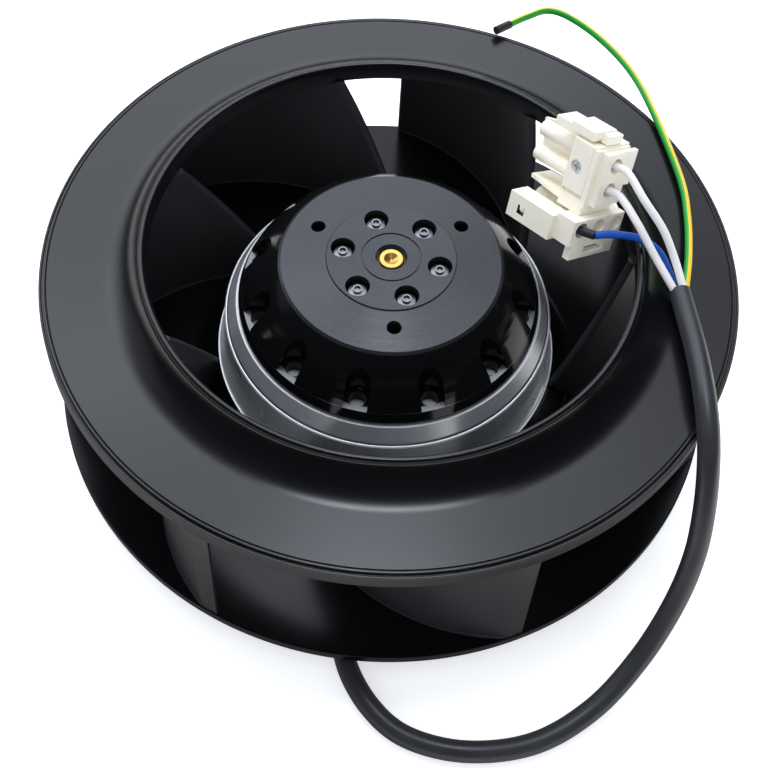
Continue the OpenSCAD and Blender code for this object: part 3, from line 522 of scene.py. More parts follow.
@dataclass(frozen=True)
class CapFinish(Surface):
    """The rotor cap: glossy black shoulder, turned satin disc, and bare metal on the outer strip of the pocket floors,
    lighter and placed as a painted glint.
    """

    name: str = "rotor_cap_black"
    shoulder: Triple = (0.004, 0.004, 0.0045)
    disc: Triple = (0.056, 0.058, 0.061)
    bare_glint: Triple = (0.16, 0.163, 0.167)
    bare_glint_r: float = 46.6
    bare_glint_soft: float = 0.2
    disc_z: Pair = (70.6, 90.0)
    disc_soft: float = 0.1
    floor_z: Pair = (55.43, 55.63)
    floor_soft: float = 0.03
    tool_slope: float = 0.3
    tool_scale: float = 40000.0
    streaks: Pair = (0.93, 1.06)
    shoulder_rough: Pair = (0.10, 0.17)
    disc_rough: Pair = (0.20, 0.28)
    bare_glint_rough: float = 0.34
    disc_metal: float = 0.75
    gloss: float = 0.22
    lines: float = 5.0
    fine: float = 3000.0
    broad: float = 40.0
    bump_mm: float = 0.003

    def turned_normal(self, g: Graph, place: object, share: object) -> NodeSocket:
        """The normal of a turned face, tipped towards and from the axis by fine tool marks.

        The tip is the radial direction times a noise of the radius alone, so the sheen spreads in a fan.

        Args:
            g: The material's graph.
            place: Object coordinates.
            share: Where the face is turned, from 0 to 1.

        Returns:
            The normal in the world's axes.
        """
        flat = g.vector("MULTIPLY", {0: place, 1: (1.0, 1.0, 0.0)})
        fine = {"W": g.vector("LENGTH", {0: flat}), "Scale": self.tool_scale, "Detail": 0.0}
        marks = g.node("ShaderNodeTexNoise", fine, noise_dimensions="1D").outputs[0]
        tip = g.math("MULTIPLY", g.math("MULTIPLY", g.math("SUBTRACT", marks, 0.5), 2.0 * self.tool_slope), share)
        lean = g.vector("SCALE", {0: g.vector("NORMALIZE", {0: flat}), "Scale": tip})
        own = g.node("ShaderNodeTexCoord").outputs["Normal"]
        tipped = {0: g.vector("ADD", {0: own, 1: lean})}
        ways = {"vector_type": "NORMAL", "convert_from": "OBJECT", "convert_to": "WORLD"}
        return g.node("ShaderNodeVectorTransform", tipped, **ways).outputs[0]

    def dress(self, g: Graph) -> None:
        """Feeds the three zones of the cap, told apart by height and radius.

        Args:
            g: The material's graph.
        """
        place = g.place()
        turning = g.group(g.groups.turning, {"Vector": place, "Lines": self.lines})
        grain = g.group(g.groups.grain, {"Vector": place, "Fine": self.fine, "Broad": self.broad})
        level, marks = turning["Level"], turning["Height"]
        low, high = self.disc_z
        disc = g.group(g.groups.band, {"Value": level, "Low": low, "High": high, "Soft": self.disc_soft})[0]
        low, high = self.floor_z
        floor = g.group(g.groups.band, {"Value": level, "Low": low, "High": high, "Soft": self.floor_soft})[0]
        # The outer strip of each pocket floor is bare metal, lighter than the rest and set where the corner glints
        # fall: partly a painted glint.
        outer = g.remap(turning["Radius"], self.bare_glint_r - self.bare_glint_soft, self.bare_glint_r + self.bare_glint_soft, 0.0, 1.0)
        floor = g.math("MULTIPLY", floor, outer)
        streaked = {0: 1.0, 6: rgba(self.disc), 7: g.remap(marks, *NOISE_RANGE, *self.streaks)}
        satin = g.node("ShaderNodeMix", streaked, data_type="RGBA", blend_type="MULTIPLY").outputs[2]
        gloss = g.remap(grain["Mottle"], -1.0, 1.0, *self.shoulder_rough)
        rough = g.blend(disc, gloss, g.remap(marks, *NOISE_RANGE, *self.disc_rough))
        normal = self.turned_normal(g, place, disc)
        values = {
            "Base Color": g.mix(floor, g.mix(disc, rgba(self.shoulder), satin), rgba(self.bare_glint)),
            "Roughness": g.blend(floor, rough, self.bare_glint_rough),
            "Metallic": g.math("MAXIMUM", g.math("MULTIPLY", disc, self.disc_metal), floor),
            "Specular IOR Level": self.gloss,
            "Normal": g.bump(grain["Height"], self.bump_mm, Normal=normal),
        }
        g.feed(g.shader, values)


@dataclass(frozen=True)
class EarthFinish(Surface):
    """Wire insulation, one half green and one half yellow, from the piece's own side attribute."""

    name: str = "earth_insulation"
    yellow: Triple = (0.86, 0.58, 0.016)
    green: Triple = (0.008, 0.34, 0.03)
    edge: float = -0.1
    edge_soft: float = 0.06
    rough: Pair = (0.30, 0.42)
    fine: float = 900.0
    broad: float = 120.0
    bump_mm: float = 0.01

    def dress(self, g: Graph) -> None:
        """Feeds the two colours along the wire, with faint mottling.

        Args:
            g: The material's graph.
        """
        side = g.node("ShaderNodeAttribute", attribute_name="side").outputs["Fac"]
        stripe = g.remap(side, self.edge - self.edge_soft, self.edge + self.edge_soft, 0.0, 1.0)
        grain = g.group(g.groups.grain, {"Vector": g.place(), "Fine": self.fine, "Broad": self.broad})
        values = {
            "Base Color": g.mix(stripe, rgba(self.green), rgba(self.yellow)),
            "Roughness": g.remap(grain["Mottle"], -1.0, 1.0, *self.rough),
            "Normal": g.bump(grain["Height"], self.bump_mm),
        }
        g.feed(g.shader, values)


# Sub-assemblies


@dataclass
class Impeller:
    """Inlet shroud, back plate and blades, all in one black moulding compound; the blades' finish is lighter only as
    painted light.

    The ledge of the rim is narrower here than in the solid, and the fine groove beside it is in the shell alone.
    """

    outer_r: float = 112.5
    throat_r: float = 78.2
    plate_z0: float = 11.0
    plate_z1: float = 13.5
    plate_lip_h: float = 1.2
    plate_lip_w: float = 2.0
    rim_z0: float = 64.5
    rim_z1: float = 70.0
    rim_t: float = 2.0
    shroud_t: float = 2.2
    ledge_w: float = 1.4
    step_h: float = 1.2
    bead_w: float = 0.8
    bead_h: float = 0.5
    ridge_w: float = 0.7
    groove_w: float = 0.5
    groove_h: float = 0.4
    cone_rise: float = 1.3
    bell_w: float = 14.8
    bell_slope: float = 58.0
    lip_w: float = 2.4
    collar_h: float = 5.5
    hub_bore_r: float = 55.5
    hub_top_r: float = 58.1
    hub_foot_r: float = 65.5
    hub_z1: float = 26.0
    hub_wall: float = 2.2
    blade_t: float = 3.0
    blade_curve_r: float = 68.0
    outlet_angle: float = 17.0
    trail_inset: float = 0.5
    lead_inset: float = 1.0
    arc_from: float = 0.9
    arc_to: float = 115.0
    fillet: float = 0.6
    fillet_flare: float = 0.8
    tip_share: float = 0.03
    blade_phase: float = 91.3
    blade_n: int = 7
    blade_sharp: float = 50.0
    segments: int = 240
    bell_points: int = 22
    lip_points: int = 14
    arc_points: int = 3000
    run_points: int = 41
    tip_points: int = 9
    rise_points: int = 19

    def __post_init__(self) -> None:
        """Works out the shroud's levels."""
        self.ledge_z = self.rim_z1 - self.bead_h
        self.cone_r, self.cone_z = self.outer_r - self.ledge_w, self.ledge_z + self.step_h
        self.kink_r, self.kink_z = self.throat_r + self.bell_w, self.cone_z + self.cone_rise
        self.cone_slope = math.atan(self.cone_rise / (self.cone_r - self.kink_r))
        slope = math.radians(self.bell_slope)
        self.bell_r = (self.bell_w - self.lip_w) / (math.sin(slope) - math.sin(self.cone_slope))
        self.lip_z = self.kink_z + self.bell_r * (math.cos(self.cone_slope) - math.cos(slope))
        self.collar_z = self.lip_z - self.collar_h

    def under_curve(self) -> np.ndarray:
        """Outline of the shroud's underside, from the throat to the rim."""
        return np.array(
            [
                [self.throat_r, self.collar_z], [self.kink_r, self.kink_z - self.shroud_t],
                [self.cone_r, self.cone_z - self.shroud_t], [self.outer_r - self.rim_t, self.cone_z - self.shroud_t],
            ]
        )

    def shroud(self) -> Object:
        """The inlet shroud: a stepped rim, a fine groove, a flat cone, the bell's arc and a half-round lip.

        Returns:
            The piece.
        """
        a = np.linspace(self.cone_slope, math.radians(self.bell_slope), self.bell_points)
        bell = np.stack(
            [
                self.kink_r - self.bell_r * (np.sin(a) - math.sin(self.cone_slope)),
                self.kink_z + self.bell_r * (math.cos(self.cone_slope) - np.cos(a)),
            ],
            axis=1,
        )
        b = np.linspace(0.0, math.pi, self.lip_points)[1:]
        lip = np.stack(
            [self.throat_r + self.lip_w / 2 * (1 + np.cos(b)), self.lip_z + self.lip_w / 2 * np.sin(b)], axis=1
        )
        rim_in, bead = self.outer_r - self.rim_t, self.outer_r - self.bead_w
        rim = np.array(
            [
                [rim_in, self.rim_z0], [self.outer_r, self.rim_z0], [self.outer_r, self.rim_z1], [bead, self.rim_z1],
                [bead, self.ledge_z], [self.cone_r, self.ledge_z], [self.cone_r, self.cone_z],
            ]
        )
        inward = self.ridge_w + self.groove_w * np.array([0.0, 0.5, 1.0])
        groove = np.stack([self.cone_r - inward, self.cone_z + inward * math.tan(self.cone_slope)], axis=1)
        groove[1, 1] -= self.groove_h
        outline = np.concatenate([self.under_curve(), rim, groove, bell, lip])
        corners = [0.3, 0.0, 0.0, 0.8, 0.25, 0.3, 0.3, 0.25, 0.2, 0.3, 0.25, 0.1, 0.1, 0.1]
        radii = np.concatenate([corners, np.zeros(len(bell) + len(lip))])
        return make_piece("shroud_shell", *turned_shell(rounded_profile(outline, radii), self.segments))

    def back_plate(self) -> Object:
        """The back plate: a disc with a turned-down lip and a hollow hub cone, turned about Z.

        Returns:
            The piece.
        """
        inner, foot = self.outer_r - self.plate_lip_w, self.plate_z0 - self.plate_lip_h
        wall = self.hub_bore_r + self.hub_wall
        outline = np.array(
            [
                [self.hub_bore_r, self.plate_z0], [wall, self.plate_z0], [wall, (self.hub_z1 + self.plate_z1) / 2],
                [self.hub_foot_r - self.hub_wall, self.plate_z0], [inner, self.plate_z0], [inner, foot],
                [self.outer_r, foot], [self.outer_r, self.plate_z1], [self.hub_foot_r, self.plate_z1],
                [self.hub_top_r, self.hub_z1], [self.hub_bore_r, self.hub_z1],
            ]
        )
        radii = np.array([0.2, 0.2, 0.3, 0.6, 0.4, 0.3, 0.4, 0.5, 2.5, 0.6, 0.2])
        return make_piece("back_plate_shell", *turned_shell(rounded_profile(outline, radii), self.segments))

    def blade(self, number: int) -> Object:
        """One backward-curved blade.

        In plan the middle line is an arc of the curve radius that meets the rim at the outlet angle. Along it the half
        thickness is constant and falls as a half round at both ends. The grid runs round that strip and up from the
        back plate to the shroud's underside. The leading edge follows the hub cone and then leans outwards in a
        straight line up to the throat, and the foot and head widen in a small fillet.

        Args:
            number: Number of the blade, from 1.

        Returns:
            The piece.
        """
        alpha, curve, half = math.radians(self.outlet_angle), self.blade_curve_r, self.blade_t / 2
        cx, cy = self.outer_r - curve * math.cos(alpha), curve * math.sin(alpha)
        fine = np.linspace(-alpha * self.arc_from, -math.radians(self.arc_to), self.arc_points)
        fine_r = np.hypot(cx + curve * np.cos(fine), cy + curve * np.sin(fine))
        order = np.argsort(fine_r)
        knee = (self.hub_z1 - self.plate_z1) / (self.collar_z - self.plate_z1)
        ends = np.array([0.0, 0.006, 0.014, 0.026])
        v = np.unique(np.concatenate([ends, [knee], np.linspace(0.05, 0.95, self.rise_points), 1 - ends]))
        lead_r = np.interp(v, [0.0, knee, 1.0], [self.hub_foot_r, self.hub_top_r, self.throat_r - self.lead_inset])
        trail_r = np.full_like(v, self.outer_r - self.trail_inset)
        t_lead = np.interp(lead_r, fine_r[order], fine[order])
        t_trail = np.interp(trail_r, fine_r[order], fine[order])
        run = np.linspace(0.0, 1.0, self.run_points)
        tip = 0.5 * (1 - np.cos(np.linspace(0, np.pi, self.tip_points)))
        s = np.unique(np.concatenate([tip * self.tip_share, run, 1 - tip * self.tip_share]))
        t = t_lead[:, None] + (t_trail - t_lead)[:, None] * s[None]
        length = curve * np.abs(t_trail - t_lead)[:, None]
        near_end = np.minimum(s[None], 1 - s[None]) * length
        swell = np.sqrt(np.clip(1 - np.clip(1 - near_end / half, 0, 1) ** 2, 0, 1))
        rim_in = self.outer_r - self.rim_t
        under = self.under_curve()
        r_mid = np.hypot(cx + curve * np.cos(t), cy + curve * np.sin(t))
        top = np.interp(r_mid, under[:, 0], under[:, 1])
        top = np.where(r_mid > rim_in, self.rim_z0, top)
        z = self.plate_z1 + v[:, None] * (top - self.plate_z1)
        away = np.minimum(z - self.plate_z1, top - z)
        fillet = self.fillet * np.clip(1 - away / self.fillet, 0, 1) ** 2
        wide = (half + fillet * self.fillet_flare) * swell
        arms = (curve + wide, curve - wide)
        outside, inside = (np.stack([cx + arm * np.cos(t), cy + arm * np.sin(t), z], axis=-1) for arm in arms)
        loop = np.concatenate([outside, inside[:, ::-1][:, 1:-1]], axis=1)
        reach = np.hypot(loop[..., 0], loop[..., 1])[..., None]
        loop[..., :2] *= np.minimum(1.0, trail_r[0] / reach)
        turn = about(2, self.blade_phase + 360 / self.blade_n * (number - 1))
        rows, columns = loop.shape[:2]
        vertices = loop.reshape(-1, 3) @ turn.T
        walls = sleeve_faces(rows, columns)
        k = np.arange(len(s) - 1)
        across = (columns - k) % columns
        across_next = (columns - k - 1) % columns
        foot = np.stack([k, k + 1, across_next, across], axis=1)
        head = foot[:, ::-1] + (rows - 1) * columns
        faces = np.concatenate([walls, foot, head])
        piece = make_piece(f"blade_{number}_shell", vertices, faces, self.blade_sharp)
        self._outwards(piece)
        return piece

    @staticmethod
    def _outwards(piece: Object) -> None:
        """Merges doubled points and turns all faces of a closed piece outwards.

        Args:
            piece: The closed piece.
        """
        work = bmesh.new()
        work.from_mesh(piece.data)
        bmesh.ops.remove_doubles(work, verts=work.verts, dist=WELD_M)
        bmesh.ops.dissolve_degenerate(work, edges=work.edges, dist=SLIVER_M)
        bmesh.ops.recalc_face_normals(work, faces=work.faces)
        work.to_mesh(piece.data)
        work.free()

    def build(self, finishes: dict[str, Material]) -> None:
        """Builds and dresses the impeller's shells.

        Args:
            finishes: Materials of the shroud, the plate and the blades by these names.
        """
        made = [(self.shroud(), "inlet_shroud", "shroud"), (self.back_plate(), "back_plate", "plate")]
        made += [(self.blade(k), f"blade_{k}", "blades") for k in range(1, self.blade_n + 1)]
        for piece, node, finish in made:
            piece.data.materials.append(finishes[finish])
            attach(piece, Body.IMPELLER.value)
            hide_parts(node)


@dataclass
class Cord:
    """One free cord, with the same route as its solid."""

    name: str
    node: str
    slot: str
    route: np.ndarray
    diameter: float
    stiffness: str = "limp"
    far_end: str = "connector"
    sides: int = 20
    steps: int = 10
    sharp_deg: float = 60.0

    def path(self) -> np.ndarray:
        """The middle line in millimetres."""
        return smooth_route(self.route, self.steps)

    def build(self, material: Material) -> Object:
        """Builds the tube, with the cosine of each point's angle from the right side kept in the attribute side.

        Args:
            material: The cord's finish.

        Returns:
            The piece.
        """
        path = self.path()
        vertices, faces, turn = tube(path, np.full(len(path), self.diameter / 2), self.sides)
        piece = make_piece(self.name, vertices, faces, self.sharp_deg)
        mark = piece.data.attributes.new("side", "FLOAT", "POINT")
        mark.data.foreach_set("value", np.cos(2 * np.pi * (turn - 0.25)).astype(np.float32))
        piece.data.materials.append(material)
        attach(piece, Body.STATOR.value)
        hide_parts(self.node)
        return piece

    def declare(self, piece: Object, with_pieces: list[Object]) -> None:
        """Args:
            piece: The cord's tube; not used.
            with_pieces: The pieces that go where the cord goes; not used.
        """


@dataclass
class Wiring:
    """The supply cable, its cores and the two connectors."""

    pair_place: Triple = (56.0, 20.6, 99.0)
    pair_turn: Triple = (-14.0, 22.0, 38.0)
    wire_face_y: float = -9.3
    terminal_y: float = -4.0
    straight: float = 5.0
    upper_pole: Pair = (8.0, 3.3)
    lower_pole: Pair = (-0.3, -18.0)
    pole_pitch: float = 8.4
    cable_d: float = 7.0
    wire_d: float = 2.5
    earth_d: float = 2.5
    sleeve_d: float = 2.9
    ferrule_d: float = 3.0
    key_middle: Triple = (-3.9, 11.6, -20.2)
    key_half: Triple = (2.5, 1.65, 1.65)

    def __post_init__(self) -> None:
        """Sets out the routes."""
        ax, ay, az = self.pair_turn
        self.turn = about(2, az) @ about(1, ay) @ about(0, ax)
        self.cable_route = np.array(
            [
                [-4, -41, 5.15], [-4, -69, 5.15], [-4, -77, 5.15], [-7.2, -95, 4], [-5.9, -110.1, 3.8],
                [2.6, -124.6, 3.7], [15, -134, 3.7], [34, -137.3, 3.7], [55, -133, 3.7], [73, -121.3, 5.8],
                [86.5, -106.9, 13.5], [95.2, -94.3, 27.3], [99.3, -84.3, 42.2], [100, -74.6, 56.8], [99, -63.6, 70],
                [97.6, -50.5, 76.2], [95.6, -31.5, 77.1], [91.8, -8.8, 76.6],
            ],
            float,
        )
        ux, uz = self.upper_pole
        self.white_1_route = np.array(
            self.lead(ux, uz) + [[77.2, 9.2, 98.6], [84.1, 3.3, 92], [89, -1.8, 84.2], self.core_start(0.7, 1.9)]
        )
        self.white_2_route = np.array(
            self.lead(ux, uz - self.pole_pitch) + [[76.1, 5, 92.1], [82.5, -1.4, 84.8], self.core_start(-2, 1)]
        )
        lx, lz = self.lower_pole
        self.sleeve_route = np.array(
            [self.pole_point(lx, self.terminal_y, lz), self.pole_point(lx, self.wire_face_y, lz), [63.6, 4.4, 85.6]]
        )
        self.blue_route = np.array(
            [
                [63.6, 4.4, 85.6], [69.7, 5.6, 85.2], [77.8, 5.8, 83.9], [84.5, 3.4, 81.2], [88.4, -2.4, 78],
                self.core_start(-0.8, -1.8),
            ]
        )
        self.earth_route = np.array(
            [
                self.core_start(1.8, -0.8), [95.5, 6, 75.8], [96.5, 24, 74.2], [95, 42, 73.6], [87, 74, 72.4],
                [80, 93, 71.5], [70, 108, 71], [59, 118, 71], [51, 120.5, 71.2], [43.5, 116, 71.8],
                [37, 110.5, 72.6],
            ]
        )
        self.ferrule_route = np.array([self.earth_route[-1], [32, 106, 73.4]])

    def pole_point(self, x: float, y: float, z: float) -> list[float]:
        """A point of the connector pair in the fan's axes."""
        return (np.array(self.pair_place) + self.turn @ np.array([x, y, z])).tolist()

    def key_shade_finish(self, plain: Finish) -> ShadedWindowFinish:
        """The plastic of the lower connector, with painted shade inside its key window."""
        axes = tuple(tuple(float(c) for c in axis) for axis in self.turn.T)
        middle = tuple(self.pole_point(*self.key_middle))
        return ShadedWindowFinish(**{**vars(plain), "name": "keyed_plastic_painted_shade"}, middle=middle, half=self.key_half, axes=axes)

    def lead(self, x: float, z: float) -> list[list[float]]:
        """The straight run of a wire from its terminal out of its hole."""
        return [self.pole_point(x, y, z) for y in (self.terminal_y, self.wire_face_y, self.wire_face_y - self.straight)]

    def core_start(self, across: float, up: float) -> list[float]:
        """Where a core leaves the jacket's end, from its offsets across and up."""
        along = unit(self.cable_route[-1] - self.cable_route[-2])
        side = unit(np.cross(along, [0, 0, 1]))
        return (self.cable_route[-1] + side * across + np.cross(side, along) * up).tolist()

    def build(self, finishes: dict[str, Material], nodes: dict[str, Object]) -> None:
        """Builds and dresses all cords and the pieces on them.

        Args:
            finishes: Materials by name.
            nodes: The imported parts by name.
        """
        cords = [
            Cord("cable_jacket", "supply_cable", "cable_jacket", self.cable_route, self.cable_d, "medium", sides=28),
            Cord("white_core_1", "white_wire_1", "white_insulation", self.white_1_route[::-1], self.wire_d),
            Cord("white_core_2", "white_wire_2", "white_insulation", self.white_2_route[::-1], self.wire_d),
            Cord("blue_core", "blue_wire", "blue_insulation", self.blue_route[::-1], self.wire_d),
            Cord("earth_core", "earth_wire", "earth_insulation", self.earth_route, self.earth_d, far_end="fitting"),
        ]
        sleeves = [
            Cord("blue_core_sleeve", "blue_sleeve", "black_sleeve", self.sleeve_route, self.sleeve_d),
            Cord("earth_end_sleeve", "earth_ferrule", "black_sleeve", self.ferrule_route, self.ferrule_d),
        ]
        made = {cord.name: cord.build(finishes[cord.slot]) for cord in cords + sleeves}
        upper = [nodes["connector_upper"], nodes["terminal_screw"], nodes["terminal_blocks"]]
        carried = [
            [nodes["connector_upper"], nodes["connector_lower"]], upper, upper[:1],
            [made["blue_core_sleeve"], nodes["connector_lower"]], [made["earth_end_sleeve"]],
        ]
        for cord, with_pieces in zip(cords, carried):
            cord.declare(made[cord.name], with_pieces)


@dataclass(frozen=True)
class Lamp:
    """One soft area lamp; its place, the point that it faces and its two sides are in metres."""

    name: str
    place: Triple
    target: Triple
    size: Pair
    watts: float

    def hang(self, tint: Triple) -> None:
        """Hangs the lamp.

        Args:
            tint: Colour of the light.
        """
        data = bpy.data.lights.new(self.name, "AREA")
        data.shape, data.size, data.size_y, data.energy = "RECTANGLE", *self.size, self.watts
        data.color = tint
        made = placed(self.name, data)
        made.location = self.place
        made.rotation_euler = (Vector(self.target) - Vector(self.place)).to_track_quat("-Z", "Y").to_euler()


@dataclass
class Studio:
    """Pale floor, soft lamps, world and the photograph's camera."""

    eye: Triple = (0.38, -298.27, 454.31)
    elevation: float = 56.80
    roll: float = 3.87
    focal_px: float = 1500.0
    frame_px: float = 768.0
    sensor_mm: float = 36.0
    clip_m: Pair = (0.01, 50.0)
    floor_r: float = 2600.0
    floor_z: float = -0.15
    floor_grid: tuple[int, int] = (12, 96)
    floor_tone: float = 0.9
    floor_rough: float = 0.9
    floor_hole_r: float = 1e-3
    floor_lift: float = 0.55
    # Radii and strengths of the floor's mirrored glow; the dim inner part is a painted shadow under the fan.
    floor_mirrored_shadow: tuple[float, float, float, float] = (140.0, 190.0, 0.2, 2.0)
    window_side: Triple = (-0.23, 0.36, 0.68)
    window_front: Pair = (0.26, 0.44)
    window_foot: Pair = (0.15, 0.35)
    window_bright: float = 2.1
    window_rise: Triple = (0.40, 0.57, 2.1)
    sky_dark: float = 0.01
    sky_fill: float = 0.76
    light_tint: Triple = (0.92, 0.97, 1.08)
    lamps: tuple[Lamp, ...] = (
        Lamp("overhead_softbox", (0.02, 0.10, 1.25), (0, 0, 0.06), (0.34, 0.12), 3.3),
        Lamp("left_softbox", (-1.1, 0.2, 0.7), (0, 0, 0.03), (0.4, 0.8), 0.4),
    )

    def camera(self) -> None:
        """The camera from the eye point, the elevation and the roll of the photograph."""
        e, k = math.radians(self.elevation), math.radians(self.roll)
        right, up = np.array([1, 0, 0.0]), np.array([0, math.sin(e), math.cos(e)])
        back = np.array([0, -math.cos(e), math.sin(e)])
        across = math.cos(k) * right + math.sin(k) * up
        upright = -math.sin(k) * right + math.cos(k) * up
        data = bpy.data.cameras.new("photo_camera")
        data.sensor_width, data.lens = self.sensor_mm, self.sensor_mm * self.focal_px / self.frame_px
        data.clip_start, data.clip_end = self.clip_m
        made = placed("photo_camera", data)
        frame = np.eye(4)
        frame[:3] = np.stack([across, upright, back, np.array(self.eye) * MM], axis=1)
        made.matrix_world = Matrix(frame.tolist())
        bpy.context.scene.camera = made

    def floor(self) -> None:
        """A round pale floor under the fan, a grid of radius and angle. To mirrored rays it glows, with a painted
        shadow: it is dim near the fan's axis, standing in for the shade under the fan.
        """
        rows, columns = self.floor_grid
        a = np.linspace(0, 2 * np.pi, columns, endpoint=False)[None]
        r = np.linspace(self.floor_hole_r, self.floor_r, rows)[:, None]
        grid = np.stack([r * np.cos(a), r * np.sin(a), np.full((rows, columns), self.floor_z)], axis=-1)
        piece = make_piece("studio_floor", grid.reshape(-1, 3), sleeve_faces(rows, columns))
        made = bpy.data.materials.new("studio_floor_white")
        made.use_nodes = True
        g = Graph(made.node_tree)
        matt = {"Base Color": rgba((self.floor_tone,) * 3), "Roughness": self.floor_rough, "Specular IOR Level": 0.0}
        shader = g.feed(g.shader, matt)
        path = g.node("ShaderNodeLightPath")
        seen = g.math("MULTIPLY", path.outputs["Is Camera Ray"], self.floor_lift)
        lift = g.node("ShaderNodeEmission", {"Color": WHITE, "Strength": seen})
        plain = g.node("ShaderNodeAddShader", {0: shader.outputs[0], 1: lift.outputs[0]})
        # Painted shadow: the glow that mirrored rays see is dim near the fan's axis and full further out.
        inner, outer, shadow_dim, bright = self.floor_mirrored_shadow
        mirrored_glow_and_shadow = g.remap(g.vector("LENGTH", {0: g.place()}), inner * MM, outer * MM, shadow_dim, bright)
        mirrored = g.node("ShaderNodeEmission", {"Color": WHITE, "Strength": mirrored_glow_and_shadow})
        either = {0: path.outputs["Is Glossy Ray"], 1: plain.outputs[0], 2: mirrored.outputs[0]}
        g.feed(g.tree.nodes["Material Output"], {"Surface": g.node("ShaderNodeMixShader", either).outputs[0]})
        piece.data.materials.append(made)

    def world(self) -> None:
        """A tall soft window of light behind and above the fan, and white to the camera.

        The window's brightness is the product of four ramps: across, from its front edge near the zenith, up from its
        foot, and a rise towards the front edge. Mirrored rays see the window alone. Scattered light also gets an even
        fill from all sides.
        """
        world = bpy.data.worlds.new("studio_world")
        bpy.context.scene.world = world
        world.use_nodes = True
        g = Graph(world.node_tree)
        way = g.node("ShaderNodeSeparateXYZ", {0: g.node("ShaderNodeTexCoord").outputs["Generated"]}).outputs
        middle, full, end = self.window_side
        across = g.remap(g.math("ABSOLUTE", g.math("SUBTRACT", way[0], middle)), full, end, 1.0, 0.0)
        front = g.remap(way[1], *self.window_front, 0.0, 1.0)
        foot = g.remap(way[2], *self.window_foot, 0.0, 1.0)
        share = g.math("MULTIPLY", g.math("MULTIPLY", across, front), foot)
        near, far, gain = self.window_rise
        share = g.math("MULTIPLY", share, g.remap(way[1], near, far, gain, 1.0))
        window = g.math("ADD", g.math("MULTIPLY", share, self.window_bright), self.sky_dark)
        rays = g.node("ShaderNodeLightPath").outputs
        strength = g.blend(rays["Is Glossy Ray"], g.math("ADD", window, self.sky_fill), window)
        seen = rays["Is Camera Ray"]
        values = {"Strength": g.blend(seen, strength, 1.0), "Color": g.mix(seen, rgba(self.light_tint), WHITE)}
        g.feed(world.node_tree.nodes["Background"], values)

    def build(self) -> None:
        """Builds the studio."""
        bpy.context.scene.view_settings.view_transform = "Standard"
        self.camera()
        self.floor()
        self.world()
        for lamp in self.lamps:
            lamp.hang(self.light_tint)


# In each row: roughness, metallic, tone_spread, rough_spread, fine, broad, bump_mm, then lines and gloss if any

ZONE_FINISHES: dict[Zone, Finish] = {
    Zone.ZINC: Finish("zinc_sheet", (0.76, 0.77, 0.78), 0.32, 0.5, 0.08, 0.06, 1500.0, 90.0, 0.004),
    Zone.CORE: Finish("core_steel", (0.55, 0.555, 0.565), 0.42, 0.6, 0.10, 0.05, 2400.0, 60.0, 0.01, 4.0),
    Zone.DARK_STEEL: Finish("dark_steel", (0.20, 0.205, 0.21), 0.28, 1.0, 0.15, 0.06, 2600.0, 150.0, 0.006),
    Zone.BRASS: Finish("turned_brass", (0.72, 0.43, 0.12), 0.3, 1.0, 0.08, 0.05, 2600.0, 150.0, 0.01, 8.0),
    Zone.BRIGHT_STEEL: Finish("bright_steel", (0.66, 0.67, 0.69), 0.22, 1.0, 0.08, 0.05, 2600.0, 120.0, 0.006),
    Zone.ALUMINIUM: Finish("cast_aluminium", (0.52, 0.53, 0.54), 0.45, 1.0, 0.10, 0.06, 1500.0, 40.0, 0.04),
    Zone.IVORY: Finish("ivory_plastic", (0.97, 0.91, 0.75), 0.42, 0.0, 0.03, 0.05, 2200.0, 90.0, 0.012),
    Zone.COPPER: Finish("copper_winding", (0.60, 0.25, 0.10), 0.35, 1.0, 0.15, 0.06, 900.0, 60.0, 0.08, coat=0.2),
    Zone.RUBBER: Finish("gland_rubber", (0.02, 0.02, 0.021), 0.6, 0.0, 0.12, 0.05, 1500.0, 60.0, 0.03),
    Zone.CAGE: Finish("cage_plastic", (0.50, 0.36, 0.18), 0.5, 0.0, 0.08, 0.05, 2000.0, 90.0, 0.01),
}

BLACK = (0.0034, 0.0036, 0.0041)
# The blades are the shroud's black compound; their lighter colour is painted light, standing in for the light thrown on
# them from the bright surroundings.
LIT_BLADE_BLACK = (0.024, 0.0245, 0.026)
IMPELLER_FINISHES: dict[str, Finish] = {
    "shroud": Finish("moulded_black", BLACK, 0.24, 0.0, 0.10, 0.03, 2400.0, 22.0, 0.003),
    "plate": Finish("moulded_black_plate", BLACK, 0.2, 0.0, 0.10, 0.03, 2400.0, 22.0, 0.002, 0.0, 0.22),
    "blades": Finish("moulded_black_blade_painted_light", LIT_BLADE_BLACK, 0.42, 0.0, 0.10, 0.05, 2400.0, 22.0, 0.01, 0.0, 0.3),
}

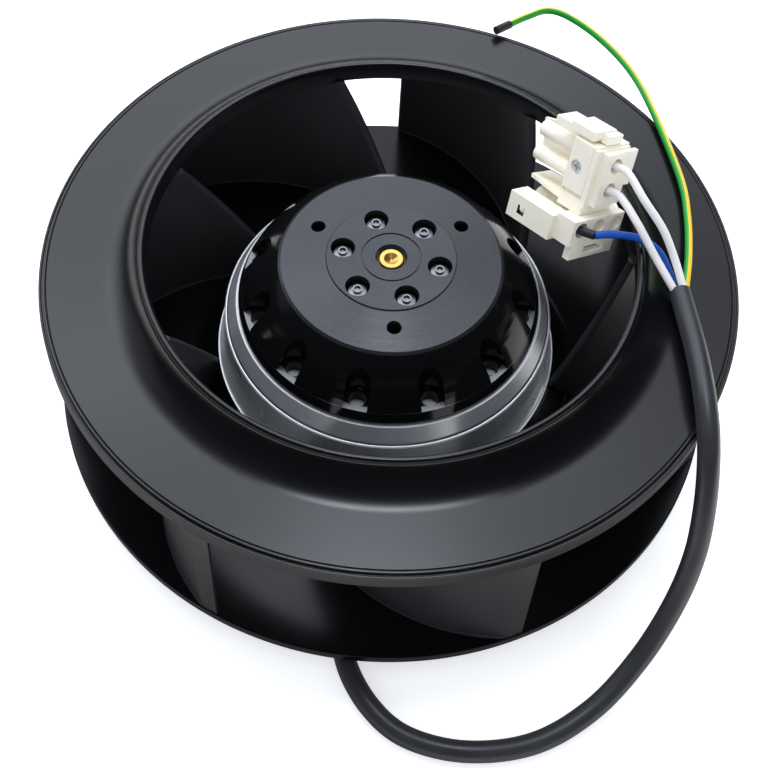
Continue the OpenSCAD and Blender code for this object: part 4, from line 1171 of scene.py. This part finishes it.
CORD_FINISHES: tuple[Surface, ...] = (
    Finish("cable_jacket", (0.030, 0.031, 0.034), 0.40, 0.0, 0.12, 0.06, 1600.0, 45.0, 0.03),
    Finish("white_insulation", (0.88, 0.845, 0.81), 0.35, 0.0, 0.03, 0.05, 900.0, 90.0, 0.015),
    Finish("blue_insulation", (0.006, 0.085, 0.44), 0.3, 0.0, 0.08, 0.05, 900.0, 90.0, 0.015),
    Finish("black_sleeve", (0.022, 0.022, 0.023), 0.5, 0.0, 0.12, 0.06, 1200.0, 90.0, 0.02),
    EarthFinish(),
)


def soften(piece: Object, width_mm: float, angle_deg: float = 35.0) -> None:
    """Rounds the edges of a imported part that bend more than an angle.

    Args:
        piece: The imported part.
        width_mm: Width of the rounded edge.
        angle_deg: Least bend of a rounded edge.
    """
    weld = piece.modifiers.new("weld", "WELD")
    weld.merge_threshold = WELD_M
    bevel = piece.modifiers.new("soft_edges", "BEVEL")
    bevel.width, bevel.segments = width_mm * MM, 2
    bevel.limit_method, bevel.angle_limit = "ANGLE", math.radians(angle_deg)
    bevel.harden_normals = True


def recoat(piece: Object, material: Material) -> None:
    """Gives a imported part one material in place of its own."""
    piece.data.materials.clear()
    piece.data.materials.append(material)


def main() -> None:
    """Builds the dressed fan."""
    logging.basicConfig(level=logging.INFO, format="%(name)s: %(message)s")
    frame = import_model()
    nodes = frame["nodes"]
    Studio().build()
    groups = SharedGroups()
    finishes = {finish.name: finish.material(groups) for finish in CORD_FINISHES}
    wiring = Wiring()
    wiring.build(finishes, nodes)
    Impeller().build({name: finish.material(groups) for name, finish in IMPELLER_FINISHES.items()})
    for zone, finish in ZONE_FINISHES.items():
        material = finish.material(groups)
        for name in zone.value:
            recoat(nodes[name], material)
    recoat(nodes["connector_lower"], wiring.key_shade_finish(ZONE_FINISHES[Zone.IVORY]).material(groups))
    recoat(nodes["rotor_cap"], CapFinish().material(groups))
    for name in ("connector_upper", "connector_lower"):
        soften(nodes[name], CONNECTOR_EDGE)


if __name__ == "__main__":
    main()
